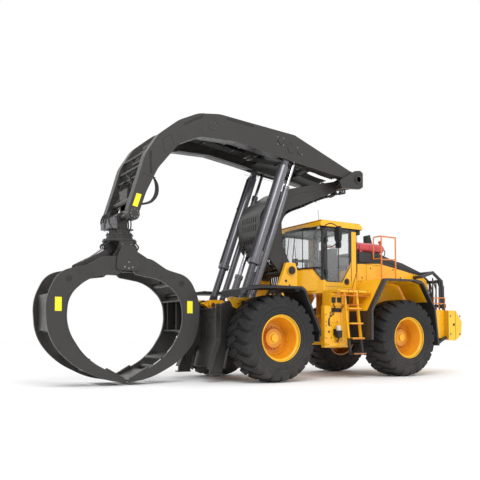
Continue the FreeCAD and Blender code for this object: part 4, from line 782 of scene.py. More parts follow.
def hood_sides():
    """Panel seams, the dark panels, vents and latches on the hood's sides."""
    for work in both("rear_frame"):
        for a, b in (((-1196, 2560), (-1196, 2180)), ((-985, 2575), (-1700, 2548)),
                     ((-1196, 2180), (-940, 2160)), ((-2150, 2556), (-2150, 2260)),
                     ((-940, 2100), (-930, 2560)), ((-2150, 2540), (-3080, 2330))):
            work.trace(HOOD_FACE, [a, b], 4)
        work.done("hood_seams_", "seam", slot="hood_charcoal")
        work.slab([(-984, 2606), (-984, 2838), (-1560, 2790), (-1644, 2770), (-1644, 2606)],
                  690, HOOD_FACE + 2)
        work.done("hood_blank_panel_", "hood_charcoal", 8)
        work.bolts(HOOD_FACE + 2, [(-1010, 2812), (-1010, 2630), (-1615, 2752), (-1615, 2630)],
                   7, 6)
        for z in range(2650, 2770, 16):
            work.box(-1590, -1430, HOOD_FACE, HOOD_FACE + 4, z, z + 7)
        work.done("hood_panel_slats_", "grille")
        work.slab([(-1640, 2790), (-1700, 2700), (-3095, 2392), (-3105, 2447), (-2400, 2660)],
                  690, 712)
        work.done("hood_dark_sweep_", "hood_charcoal", 4)
        work.slab([(-2747, 2316), (-3062, 2250), (-3062, 2170), (-2790, 2222)],
                  HOOD_FACE - 4, HOOD_FACE + 4)
        for k in range(5):
            x = -2800 - 52 * k
            work.box(x - 8, x + 8, HOOD_FACE, HOOD_FACE + 8, 2180, 2290 - k * 12)
        for k in range(9):
            z = 1700 + 42 * k
            work.box(-3160, -2900, HOOD_FACE - 1, HOOD_FACE + 5, z, z + 16)
        work.done("hood_vents_", "grille", 2)
        for x, z in ((-1060, 2250), (-1330, 2480), (-2060, 2480), (-2300, 2300)):
            work.disc(x, z, HOOD_FACE - 1, HOOD_FACE + 8, 17, 14)
        work.done("hood_latches_", "bolt_dark")


def hood_back():
    """The grille across the back of the hood."""
    work = Work("rear_frame")
    for k in range(22):
        z = 1560 + 34 * k
        work.box(-3264, -3252, -560, 560, z, z + 14)
    for y in (-560, -280, 0, 280, 560):
        work.box(-3266, -3250, y - 10, y + 10, 1550, 2310)
    work.done("rear_grille", "grille", 1)


def hood_top():
    """The exhaust, the air pre-cleaner and the rails on the hood's top."""
    work = Work("rear_frame")
    work.post(-1760, 200, 2700, 3050, 56, 24)
    work.slab([(-1840, 3040), (-1690, 3040), (-1672, 3330), (-1770, 3360), (-1850, 3120)],
              130, 270)
    work.post(-1960, -320, 2650, 3010, 74, 24)
    work.pipe([(-1960, -320, 2990), (-1960, -320, 3050), (-2020, -320, 3110)], 60, 18)
    for y in (-430, 430):
        work.pipe([(-2200, y, 2700), (-2900, y, 2500)], 9, 8)
    work.box(-2080, -2060, -600, 600, 2660, 2712)
    work.done("hood_stacks", "trim_black", 4)


def bottle():
    """The red bottle's ends and valve, its strap, its hose and the cradle under it."""
    work = Work("rear_frame")
    work.lathe((-1010, 600, 2965), FORWARD, closed(band(108, -11, 112, 11)), 36)
    work.box(-1021, -999, 570, 630, 3070, 3084)
    work.rod((-1850, 600, 2965), (-1878, 600, 2965), 34, 16)
    work.hose([(-1870, 600, 2960), (-1930, 600, 2930), (-1950, 560, 2840), (-1920, 500, 2700)],
              12)
    work.box(-1700, -1020, 560, 640, 2838, 2856)
    work.done("bottle_fittings", "trim_black", 3)
    work.lathe((0, 600, 2965), FORWARD, [
        (30, -925), (70, -927), (98, -940), (106.5, -965), (106.5, -1760), (98, -1800),
        (72, -1830), (40, -1846), (30, -1852), (30, -925)], 48)
    for z0, z1, radius, sides in ((3055, 3120, 20, 14), (3105, 3150, 46, 20), (3148, 3162, 30, 20)):
        work.post(-1770, 600, z0, z1, radius, sides)
    work.done("bottle_ends", "bottle_red")


def tail_rails():
    """Small orange rails at the tail's corners, and the gates in the fender rails."""
    work = Work("rear_frame")
    for work.side in SIDES:
        work.trace(1010, [(-3147, 1560), (-3147, 1813), (-3160, 1830), (-3530, 1840),
                          (-3544, 1820), (-3544, 1560)], 14, 10)
        work.trace(1010, [(-3330, 1560), (-3330, 1838)], 11, 8)
        work.trace(1010, [(-3150, 1700), (-3540, 1700)], 11, 8)
        work.trace(1000, [(-1885, 2685), (-1410, 2665)], 15, 10)
        work.pipe([(-1402, 1000, 3205), (-1402, 780, 3205), (-1402, 760, 3180),
                   (-1402, 760, 2700)], 15)
        work.pipe([(-1402, 1000, 2690), (-1402, 764, 2690)], 13)
    work.done("tail_rails", "rail_orange")


def tail():
    """The guard round the hood's tail, rubber flaps, tail lamps and the counterweight."""
    for work in both("rear_frame"):
        # the guard's bars and its dark end plates
        for k in range(4):
            work.post(-3150 - 115 * k, 985, 1545, 2320 - 40 * k, 17, 10)
        work.slab([(-3393, 2217), (-3470, 2230), (-3565, 2120), (-3565, 1690), (-3420, 1690)],
                  968, 984)
        for k in range(7):
            work.trace(120 + 125 * k, [(-3520, 1545), (-3545, 2060), (-3440, 2290)], 16, 10)
        work.done("guard_bars_", "hood_charcoal", 3)
        # rubber flaps behind the rear wheels and a bracket under the counterweight
        work.slab([(-2553, 1060), (-2590, 1066), (-2800, 700), (-2765, 680)], 960, 1480)
        work.slab([(-3440, 905), (-3440, 850), (-3140, 700), (-3110, 740)], 900, 1160)
        work.box(-3160, -2980, 900, 1160, 690, 712)
        work.done("mud_flaps_", "fender_black", 3)
        work.prism("YZ", band(840, 1590, 1010, 1690), -3596, -3578)
        work.done("tail_lamp_frames_", "trim_black", 5)
        for name, look, y in (("tail_lamps_", "lamp_red", 850),
                              ("tail_turn_lamps_", "lamp_amber", 930)):
            work.prism("YZ", band(y, 1600, y + 72, 1680), -3602, -3594)
            work.done(name, look, 2)
        work.pipe([(-3436, 1203, 1500), (-3436, 1203, 830)], 4, 6)
        work.pipe([(-3700, 1202, 1518), (-3700, 1202, 830)], 3, 6)
        work.disc(-3640, 1180, 1198, 1204, 34, 24)
        work.done("weight_seams_", "seam")
        work.bolts(1200, [(x, z) for z in (950, 1390) for x in (-3860, -3520)], 18, 12)
        work.done("weight_bolts_", "bolt")


# ------------------------------------------------------------- deck, ladder and lockers

FILTER_X, FILTER_Y = 0, 1136
PANEL_FACE, SHELF_FACE = 1046, 1078


def deck():
    """Rails, the fuel filter, hoses and covers on the lockers and panels beside the cab."""
    for work in both("rear_frame"):
        work.hose([(-770, 1300, 1872), (-772, 1310, 1800), (-740, 1310, 1778), (-300, 1310, 1776),
                   (100, 1308, 1774), (136, 1306, 1796), (140, 1300, 1872)], 9)
        work.pipe([(-590, 1292, 1585), (-40, 1292, 1570)], 8, 8)
        work.hose([(-297, 1294, 1590), (-294, 1300, 1840), (-236, 1304, 1912), (-104, 1304, 1912),
                   (-50, 1300, 1840), (-44, 1294, 1580)], 10)
        # orange edges of the ladder's treads
        for z in range(520, 1500, 320):
            x = -190 + (z - 500) * 0.126
            work.box(x - 360, x - 15, 1397, 1403, z - 1, z + 14)
        work.done("deck_rails_", "rail_orange", 2)
        # small boxes with ringed fronts, a row of plugs, the deck's edge and the filter's bowl
        for x0, x1, z0, z1 in ((44, 150, 1625, 1740), (-112, -8, 1632, 1742)):
            work.box(x0, x1, SHELF_FACE, SHELF_FACE + 16, z0, z1)
            work.ring(((x0 + x1) / 2, SHELF_FACE + 16, (z0 + z1) / 2), 26, 6, 24, 6)
        work.box(-150, 130, 1048, 1062, 1425, 1512)
        for x in (-110, -40, 30, 100):
            work.disc(x, 1468, 1060, 1072, 15, 14)
        work.box(-340, -200, SHELF_FACE, SHELF_FACE + 10, 1600, 1800)
        work.box(-845, 25, 782, 800, 1866, 1902)
        for z0, z1, radius, sides in ((872, 1004, 76, 28), (1000, 1024, 82, 28),
                                      (852, 874, 30, 18)):
            work.post(FILTER_X, FILTER_Y, z0, z1, radius, sides)
        work.box(-40, 80, PANEL_FACE, PANEL_FACE + 34, 930, 1060)
        # the filter's feed hose and the hoses down the panel
        work.hose([(FILTER_X, FILTER_Y, 856), (-4, 1110, 800), (-14, 1074, 790),
                   (-20, 1048, 810)], 12)
        for k in range(3):
            work.hose([(60 + 50 * k, 1060, 1430), (80 + 50 * k, 1060, 1370 - 30 * k),
                       (160 + 16 * k, 1058, 1340 - 20 * k), (190 + 14 * k, 1056, 1250),
                       (180 + 14 * k, 1054, 1120)], 9)
        work.hose([(-130, 1060, 1500), (-170, 1080, 1540), (-180, 1090, 1610),
                   (-150, 1084, 1680)], 10)
        work.hose([(96, 1090, 1630), (110, 1100, 1580), (60, 1084, 1540), (40, 1064, 1505)], 10)
        work.box(-560, -190, 1250, 1399, 520, 545)
        work.done("locker_boxes_", "trim_black", 4)
        for z0, z1, radius in ((1022, 1120, 48), (1118, 1134, 38)):
            work.post(FILTER_X, FILTER_Y, z0, z1, radius, 24)
        work.done("filter_caps_", "cap_white", 4)
        # covers and brackets on the panel, and the deck's edge plate
        work.slab([(-60, 1200), (300, 1200), (300, 1390), (60, 1390), (-60, 1330)],
                  PANEL_FACE, PANEL_FACE + 12)
        work.box(120, 300, PANEL_FACE, PANEL_FACE + 12, 850, 1150)
        work.box(-300, 300, PANEL_FACE, PANEL_FACE + 44, 700, 760)
        work.box(-340, -130, PANEL_FACE, PANEL_FACE + 16, 800, 1500)
        work.box(-780, 146, 1297, 1303, 1854, 1896)
        work.box(-190, -120, SHELF_FACE, SHELF_FACE + 32, 1590, 1840)
        work.box(0, 150, SHELF_FACE, SHELF_FACE + 42, 1780, 1840)
        work.done("locker_panels_", "body_yellow", 5)
        for y, places in (
                (PANEL_FACE + 11, [(-30, 1220), (280, 1220), (280, 1370), (80, 1370), (140, 870),
                                   (280, 870), (140, 1130), (280, 1130)]),
                (PANEL_FACE + 15, [(-320, 830), (-150, 830), (-320, 1470), (-150, 1470)]),
                (1302, [(-700, 1875), (-420, 1875), (-140, 1875), (110, 1875)]),
                (1089, [(-280, 730), (260, 730)])):
            work.bolts(y, places, 10, 8)
        work.disc(210, 1000, 1056, 1068, 24, 18)
        work.done("locker_bolts_", "bolt_dark")


def deck_grips():
    """The rough walkways on the deck."""
    work = Work("rear_frame")
    for work.side in SIDES:
        work.box(-760, 60, 810, 1285, 1900, 1906)
    work.done("deck_grips", "grip", 1)


# ------------------------------------------------------------- front frame and guard

PORTS = (-150, -90, -30, 30, 90, 150)
TOWER_FACE = 533


def towers():
    """Caps, bolts and brackets on the two towers that carry the arm."""
    for work in both("front_frame"):
        # the arm pivot's cap, its lock plate, and black discs as painted shade in the holes of the
        # tower's side
        work.disc(ARM_PIVOT_X, ARM_PIVOT_Z, 578, 592, 88, 32)
        work.disc(ARM_PIVOT_X, ARM_PIVOT_Z, 590, 604, 52, 24)
        for x, z, radius, sides in ((956, 2097, 30, 20), (1180, 1830, 38, 20),
                                    (760, 1700, 52, 24)):
            work.disc(x, z, TOWER_FACE, TOWER_FACE + 5, radius, sides)
        work.done("tower_caps_and_hole_shades_", "trim_black", 2)
        work.bolts(591, circle(ARM_PIVOT_X, ARM_PIVOT_Z, 70, 6), 9, 9)
        work.bolts(TOWER_FACE + 1, [(860, 1900), (860, 2010), (1010, 1900), (1260, 1620),
                                    (1420, 1460)], 15, 12)
        work.bolts(700, [(1900, 1300), (2010, 1340), (2120, 1300), (1850, 1180), (2180, 1180)],
                   18, 12)
        work.done("tower_bolts_", "bolt_dark")
        # brackets that carry the fender ends and the work lamps before them
        work.slab([(2262, 1430), (2262, 1660), (2330, 1700), (2520, 1690), (2560, 1640),
                   (2470, 1600), (2420, 1500)], 704, 738)
        work.slab([(2262, 1500), (2262, 1600), (2420, 1640), (2420, 1600)], 500, 640)
        work.box(2262, 2300, 420, 640, 1560, 1690)
        work.slab([(1180, 1500), (1180, 1640), (1330, 1800), (1400, 1800), (1330, 1500)],
                  536, 560)
        # cast steps behind the lift cylinders' feet
        work.slab([(1500, 1330), (1500, 1560), (1560, 1610), (1700, 1500), (1700, 1330)],
                  546, 690)
        work.box(1300, 1500, 430, 690, 1250, 1400)
        work.done("front_brackets_", "body_yellow", 10)
        # dark discs as painted shade in the holes of the fender brackets and the cast step
        work.disc(2300, 1560, 730, 741, 18, 16)
        work.disc(2450, 1655, 730, 741, 12, 16)
        work.disc(1600, 1450, 690, 694, 26, 20)
        work.done("bracket_hole_shades_", "seam")


def valves():
    """The valve block between the towers, its ports and the hoses that leave it."""
    work = Work("front_frame")
    work.box(1080, 1330, -210, 210, 1225, 1400)
    work.box(1100, 1310, -170, 170, 1400, 1470)
    for y in PORTS:
        work.post(1150, y, 1470, 1510, 22, 12)
        work.post(1255, y, 1470, 1500, 22, 12)
        work.rod((1330, y, 1310), (1362, y, 1310), 20, 6)
    work.done("valve_block", "valve_grey", 5)
    for k, y in enumerate(PORTS):
        rise = 120 + 22 * (k % 3)
        work.hose([(1150, y, 1500), (1130, y * 1.05, 1600), (1010, y * 1.1, 1760 + rise * 0.3),
                   (900, y * 1.15, 1980), (850, y * 1.2, 2215)], 17)
        work.hose([(1255, y, 1490), (1300, y * 1.1, 1600), (1420, y * 1.2, 1640 + rise * 0.2),
                   (1560, y * 1.15, 1500), (1620, y * 1.1, 1330), (1600, y, 1240)], 15)
        work.hose([(1362, y, 1310), (1460, y, 1330), (1560, y * 1.1, 1300), (1640, y, 1230)], 14)
    for work.side in SIDES:
        for k in range(3):
            y = 566 + 34 * k
            work.hose([(1060 + 30 * k, y, 1330), (1050 + 20 * k, y, 1640),
                       (1160 + 26 * k, y, 1860 - 40 * k), (1330, y, 1800 - 60 * k),
                       (1420 + 20 * k, y, 1620), (1460 + 16 * k, y, 1400)], 15)
            work.hose([(1380 + 20 * k, y, 1400), (1500, y, 1700 - 40 * k),
                       (1640, y, 1690 - 50 * k), (1800, y, 1500)], 12)
    work.done("tower_hoses", "hose")
    for y in PORTS:
        work.rod((1150, y, 1505), (1148, y, 1545), 21, 12)
        work.rod((1255, y, 1494), (1262, y, 1530), 19, 12)
    work.done("hose_ends", "bolt")


def guard():
    """An upper lip, stiffening plates down the log guard's face, clamps, bolts and welds."""
    work = Work("front_frame")
    work.box(2392, 2430, -650, 650, 1496, 1508)
    for work.side in SIDES:
        work.prism("YZ", [(326, 1527), (53, 1330), (550, 1318)], 2404, 2424)
        work.slab([(2408, 1180), (2408, 360), (2512, 300), (2550, 285), (2440, 640),
                   (2424, 1180)], 318, 340)
        work.box(2400, 2436, 40, 620, 1468, 1500)
        work.slab([(2738, 310), (2700, 760), (2742, 800), (2775, 420)], 606, 622)
        work.prism("YZ", [(600, 1560), (740, 1560), (740, 1500), (600, 1460)], 2730, 2742)
    work.done("guard_ribs", "boom_charcoal", 3)
    for work.side in SIDES:
        for x, radius, height, places in (
                (2418, 15, 12, ((53, 1300), (409, 1290), (223, 1183), (560, 1390), (560, 1200),
                                (60, 1440))),
                (2738, 13, 10, ((640, 1400), (720, 1400), (640, 1250), (720, 1250), (680, 1330))),
                (2744, 13, 10, ((680, 900), (680, 700), (680, 520)))):
            for y, z in places:
                work.bolt((x, y, z), FORWARD, radius, height)
    work.done("guard_bolts", "bolt_dark")
    for work.side in SIDES:
        work.trace(340, [(2424, 1180), (2424, 420)], 7)
        work.trace(605, [(2736, 1480), (2733, 760), (2790, 420)], 6)
    work.done("guard_welds", "weld")


def front_fenders():
    """Rubber edges, mudguard flaps and tread plates of the front fenders."""
    for work in both("front_frame"):
        work.trace(1516, [(1275, 1890), (2275, 1870), (2700, 1800)], 8)
        work.trace(1516, [(1185, 1830), (790, 1000)], 8)
        work.slab([(794, 1010), (822, 1000), (850, 800), (822, 790)], 1090, 1500)
        work.box(1300, 2200, 900, 1420, 1907, 1913)
        work.done("fender_edges_", "trim_black", 2)
        work.bolts(1505, [(1350, 1880), (1650, 1880), (1950, 1880), (2250, 1872.5)], 9, 8)
        for x in (1400, 1800, 2200):
            work.bolt((x, 820, 1906), UPWARD, 11, 8)
        work.done("fender_bolts_", "bolt_dark")


# ------------------------------------------------------------- lower arm

ARM_FACE = 437


def arm_hoses():
    """Hoses under the arm's back, held by clamps, that drop to the tower at the pivot."""
    work = Work("lower_arm")
    for work.side in SIDES:
        for k in range(3):
            y = 120 + 62 * k
            work.hose([(-985, y, 4380), (-960 - 14 * k, y, 4290), (-850, y, 4272),
                       (-500, y * 1.02, 4168 - 6 * k), (-100, y, 4003 + 4 * k),
                       (330, y * 1.1, 3826 - 5 * k), (620, y * 1.15, 3700), (800, y * 1.1, 3580),
                       (890, y, 3380), (900, y, 3100), (880, y, 2860), (820, y, 2600),
                       (790, y, 2440)], 19)
    work.done("arm_hoses", "hose")
    # a tube across the arm, and the clamps
    work.disc(-330, 4180, -386, 386, 45, 18)
    for work.side in SIDES:
        for x, z in ((-700, 4244), (-330, 4104), (0, 3968), (340, 3828)):
            work.box(x - 24, x + 24, 90, 276, z - 10, z + 40)
            work.box(x - 8, x + 8, 372, 400, z - 30, z + 60)
            work.post(x, 180, z - 12, z - 26, 9, 6)
    work.done("arm_clamps", "bolt_dark", 2)


def arm_sides():
    """Welded edges, covers, caps and bolts on the arm's side plates."""
    for work in both("lower_arm"):
        # welded edges of the arm's side plates and its outlined access covers
        work.pipe([(-560, ARM_FACE - 1, 4330), (500, ARM_FACE, 4080), (980, ARM_FACE, 3900),
                   (1290, ARM_FACE, 3690), (1490, ARM_FACE, 3490), (1530, ARM_FACE, 3250),
                   (1500, ARM_FACE, 2960)], 5, 6)
        work.trace(ARM_FACE, [(990, 2960), (1010, 3350), (930, 3600), (780, 3700)], 5)
        work.ring((1230, ARM_FACE, 3300), 90, 5, 36, 6)
        work.ring((0, ARM_FACE, 4080), 70, 5, 32, 6)
        work.done("arm_welds_", "weld")
        # the fork plates' end caps at the elbow
        work.disc(ELBOW_X, ELBOW_Z, 768, 786, 104, 32)
        work.disc(ELBOW_X, ELBOW_Z, 784, 800, 70, 28)
        work.done("elbow_caps_", "boom_charcoal", 4)
        work.bolts(785, circle(ELBOW_X, ELBOW_Z, 86, 8, 0.5), 8, 8)
        work.bolts(769, [(-1040, 4640), (-1040, 4370), (-600, 4360)], 12, 10)
        work.bolts(ARM_FACE - 3, [(880, 2500), (960, 2560), (1240, 2640), (1400, 2760)], 13, 10)
        work.done("arm_bolts_", "bolt_dark")


def arm_comb():
    """Comb bars that guard the open front of the arm below its cover."""
    work = Work("lower_arm")
    for y in range(-328, 329, 82):
        if abs(y) > 250:
            work.trace(y, [(1530, 2905), (1506, 2815), (1372, 2640), (1240, 2490),
                           (1100, 2372)], 13, 8)
        else:
            work.trace(y, [(1556, 3060), (1546, 2900)], 12, 8)
    work.disc(1500, 2860, -384, 384, 14, 10)
    work.done("arm_comb", "boom_charcoal")


# ------------------------------------------------------------- boom

BOOM_FACE = 699


def beams():
    """Outlined covers, grip strips, caps, bolts and flanges on the boom's two beams."""
    for work in both("boom"):
        for x, z, reach in ((2871, 5124, 100), (961, 4991, 90)):
            work.trace(BOOM_FACE + 2, closed(circle(x, z, reach, 40)), 6)
        work.trace(BOOM_FACE + 2, closed([(3970, 4669), (3800, 4787), (3725, 4579),
                                          (3924, 4401)]), 6)
        work.trace(BOOM_FACE + 2, [(3093, 5325), (3104, 4862)], 5)
        work.trace(BOOM_FACE + 2, [(4364, 3942), (4117, 3898)], 5)
        work.trace(BOOM_FACE + 2, [(-700, 4500), (1240, 4640)], 3)
        work.done("boom_outlines_", "weld")
        for start, end in (((3523, 5046), (3117, 5281)), ((2544, 5330), (1902, 5290))):
            start, end = Vector(start), Vector(end)
            run = (end - start).normalized()
            drop = Vector((-run.y, run.x)) * 44
            work.slab([start, end, end + drop, start + drop], BOOM_FACE, BOOM_FACE + 4)
        work.slab([(4228, 3960), (4247, 4393), (4203, 4403), (4186, 3960)],
                  BOOM_FACE, BOOM_FACE + 4)
        work.done("boom_grips_", "grip")
        work.slab([(4496, 3560), (4398, 3545), (4480, 3300), (4578, 3318)],
                  BOOM_FACE, BOOM_FACE + 3.5)
        work.done("boom_labels_", "plate_yellow")
        # cross-shaped cap and its boss, lugs over the cylinders' pins, caps at both ends
        work.disc(1211, 5068, BOOM_FACE, BOOM_FACE + 13, 62, 28)
        work.disc(1211, 5068, BOOM_FACE + 12, BOOM_FACE + 31, 34, 20)
        work.box(1140, 1282, BOOM_FACE, BOOM_FACE + 23, 5046, 5090)
        work.box(1189, 1233, BOOM_FACE, BOOM_FACE + 23, 4997, 5139)
        work.disc(LIFT_HEAD.x, LIFT_HEAD.z, BOOM_FACE, BOOM_FACE + 13, 84, 28)
        work.disc(ASSIST_HEAD.x, ASSIST_HEAD.z, BOOM_FACE, BOOM_FACE + 13, 62, 28)
        work.disc(TIP_X, TIP_Z, BOOM_FACE + 18, BOOM_FACE + 39, 96, 32)
        work.disc(ELBOW_X, ELBOW_Z, BOOM_FACE + 8, BOOM_FACE + 14, 128, 36)
        work.done("boom_caps_", "boom_charcoal", 3)
        work.bolts(BOOM_FACE + 1, [(1056, 4640), (853, 4654), (1140, 5140), (1282, 4990),
                                   (1282, 5140), (1140, 4990), (760, 4990), (640, 4860)], 13, 11)
        work.bolts(BOOM_FACE + 38, circle(TIP_X, TIP_Z, 76, 8), 9, 9)
        work.bolts(BOOM_FACE, circle(2871, 5124, 78, 8), 5, 5)
        work.done("boom_bolts_", "bolt")
        # flange strips along the beam's lower edge
        edge = [(-380, 4521), (730, 4647), (1510, 4771), (2330, 4874), (3080, 4850)]
        for (ax, az), (bx, bz) in zip(edge, edge[1:]):
            work.slab([(ax, az), (bx, bz), (bx, bz + 26), (ax, az + 26)], 455, 500)
        work.done("boom_flanges_", "boom_charcoal", 3)


def boom_hoses():
    """Hoses that cross inside the neck, run along the belly and loop behind the tip."""
    work = Work("boom")
    for k, (y0, y1) in enumerate(((-420, 330), (380, -300), (-300, 420), (-120, -400))):
        work.hose([(4180 + 20 * k, y0, 4330 - 60 * k), (4330, y0 * 0.5, 4120 - 50 * k),
                   (4420, y1 * 0.6, 3930 - 30 * k), (4440, y1, 3720)], 14)
    for work.side in SIDES:
        for k in range(4):
            y = 120 + 70 * k
            work.hose([(-700, y, 4620), (-200, y, 4700), (300, y, 4880), (1070, y, 4870),
                       (1700, y, 4960), (2170, y, 5010), (2800, y * 0.95, 5070),
                       (3250, y * 0.8, 5060)], 18)
        for k in range(3):
            y = 60 + 60 * k
            work.hose([(3250, y, 5020), (3560, y, 4960), (3900, y, 4740), (4110, y, 4480),
                       (4230, y, 4150), (4290, y, 3800), (4300, y * 0.9, 3560),
                       (4420, y * 0.8, 3480)], 18)
            reach, y = 20 + 46 * k, 470 - 46 * k
            work.hose([(4200, y, 4100 - 20 * k), (4110 - reach * 0.5, y, 4020),
                       (4040 - reach, y, 3860), (4040 - reach, y, 3660),
                       (4120 - reach * 0.6, y, 3500), (4260, y, 3430), (4360, y, 3440)], 15)
    work.done("boom_hoses", "hose")


def boom_clamps():
    """The hoses' clamps, a valve with its ports, the tip's box and the neck's cross bars."""
    work = Work("boom")
    work.box(1440, 1620, -150, 150, 4830, 4990)
    work.box(1480, 1580, -90, 90, 4780, 4832)
    for y in (-110, -40, 40, 110):
        work.rod((1440, y, 4880), (1404, y, 4880), 20, 6)
    work.box(4290, 4480, -190, 190, 3340, 3470)
    for x, z in ((3650, 4930), (3960, 4700), (4190, 4330), (4272, 3960)):
        work.box(x - 26, x + 26, -200, 200, z - 24, z + 24)
    for work.side in SIDES:
        for x, z in ((-30, 4810), (620, 4880), (1480, 4930), (1900, 4985), (2600, 5052)):
            work.box(x - 22, x + 22, 96, 354, z - 32, z + 26)
    work.done("boom_clamps", "bolt_dark", 4)
    work.prism("YZ", [(-215, 3750), (215, 3750), (125, 3330), (-125, 3330)], 4310, 4480)
    for x, z in ((4330, 4150), (4370, 3950), (4240, 4420)):
        work.disc(x, z, -520, 520, 26, 14)
    work.done("tip_box", "boom_charcoal", 5)


# ------------------------------------------------------------- cylinders

def places_on(foot, head):
    """A cylinder's direction, and a function for places on it: how far up, ahead and out."""
    run = (head - foot).normalized()
    ahead_way = run.cross(OUTWARD)

    def spot(up, ahead=0.0, out=0.0):
        return foot + run * up + ahead_way * ahead + OUTWARD * out
    return run, spot


def cylinders():
    """Collars, gland bolts, clamp bands and oil pipes on the visible cylinders."""
    run, spot = places_on(LIFT_FOOT, LIFT_HEAD)
    for work in both("lift_barrels"):
        for up, radius in ((900, 124), (955, 122)):
            work.rod(spot(up), spot(up + 26), radius, 32)
        work.done("lift_bands_", "barrel_grey", 2)
        for out in (13, -13):
            work.pipe([spot(960, -118, out), spot(1000, -118, out), spot(3080, -118, out),
                       spot(3150, -86)], 13, 8)
        for up in (1510, 2310):
            work.rod(spot(up, -112), spot(up + 30, -112), 34, 10)
        work.done("lift_pipes_", "hose")
        for out, ahead in circle(0, 0, 98, 10):
            work.bolt(spot(880, ahead, out), -run, 11, 10)
        work.done("lift_gland_bolts_", "bolt_dark")
    run, spot = places_on(ASSIST_FOOT, ASSIST_HEAD)
    for work in both("assist_barrels"):
        for up in (300, 2600):
            work.rod(spot(up), spot(up + 24), 66, 24)
        work.pipe([spot(300, 74), spot(2600, 74)], 10, 8)
        work.done("assist_bands_", "barrel_grey", 1.5)


# ------------------------------------------------------------- grapple

def link():
    """Plates, hoses and a valve on the link that hangs from the boom's tip."""
    work = Work("grapple_link")
    for work.side in SIDES:
        work.disc(TIP_X, TIP_Z, 128, 142, 96, 28)
        work.box(4490, 4610, 60, 140, 2945, 3000)
    work.done("link_plates", "boom_charcoal", 4)
    for y in (-210, -70, 70, 210):
        work.hose([(4480, y * 0.5, 3262), (4448, y * 0.8, 3246), (4412, y * 0.9, 3186),
                   (4394, y * 0.9, 3080), (4398, y * 0.9, 2990), (4412, y * 0.8, 2940)], 13)
        work.hose([(4680, y * 0.4, 3260), (4800, y * 0.8, 3250), (4850, y, 3120),
                   (4820, y, 3000), (4770, y, 2950)], 15)
    work.done("link_hoses", "hose")
    work.box(4680, 4860, -200, -40, 2950, 3080)
    work.box(4680, 4850, 40, 220, 2950, 3095)
    work.slab([(4670, 3095), (4850, 3095), (4850, 3130), (4710, 3160)], 60, 200)
    for x in (4715, 4765, 4815):
        work.post(x, 130, 3150, 3180, 15, 10)
        work.disc(x, 3030, 220, 238, 15, 10)
    work.box(4330, 4440, -170, 170, 2945, 2975)
    work.done("link_valve", "valve_grey", 6)


def rotator():
    """The rotator's two circles of bolts and its rings."""
    work = Work("grapple_link")
    for x, y in circle(TIP_X, 0, 300, 24):
        work.bolt((x, y, 2757), UPWARD, 13, 14)
    for x, y in circle(TIP_X, 0, 232, 12, 0.5):
        work.post(x, y, 2770, 2900, 12, 8)
    work.done("rotator_bolts", "bolt_dark")
    for radius, z0, z1 in ((262, 2840, 2868), (256, 2790, 2806), (334, 2722, 2736)):
        work.lathe((TIP_X, 0, 0), UPWARD, closed([(radius - 20, z0), (radius, z0 + 3),
                                                  (radius, z1 - 3), (radius - 20, z1)]), 56)
    work.done("rotator_rings", "boom_charcoal")


def head():
    """Plates, bolts and hoses of the grapple's head."""
    work = Work("grapple")
    work.slab([(4410, 2690), (4690, 2690), (4720, 2712), (4380, 2712)], -300, 300)
    for work.side in SIDES:
        work.slab([(4757, 2396), (4700, 2250), (4400, 2250), (4318, 2236), (4330, 2400),
                   (4400, 2470), (4690, 2470)], 364, 374)
        # cover plates over the jaw pins
        work.slab([(4420, 2600), (4345, 2440), (4316, 2330), (4310, 2180), (4344, 2136),
                   (4756, 2136), (4790, 2180), (4784, 2330), (4755, 2440), (4680, 2600)],
                  471, 482)
        work.box(4440, 4660, 365, 472, 2500, 2540)
        work.box(4420, 4680, 364, 376, 2560, 2660)
    work.done("head_plates", "boom_charcoal", 4)
    for work.side in SIDES:
        work.bolts(372, [(4470, 2640), (4630, 2640), (4470, 2580), (4630, 2580), (4440, 2440),
                         (4660, 2440), (4500, 2330), (4600, 2330)], 12, 10)
        work.bolts(481, [(4470, 2200), (4550, 2290), (4630, 2200), (4550, 2180)], 13, 10)
    work.done("head_bolts", "bolt")
    for y in (-165, -55, 55, 165):
        for way in SIDES:
            work.hose([(TIP_X + way * 120, y, 2690), (TIP_X + way * 240, y, 2700),
                       (TIP_X + way * 330, y * 0.9, 2640), (TIP_X + way * 300, y * 0.8, 2560),
                       (TIP_X + way * 210, y * 0.9, 2500)], 14)
    work.done("head_hoses", "hose")


JAW_FACE = 449


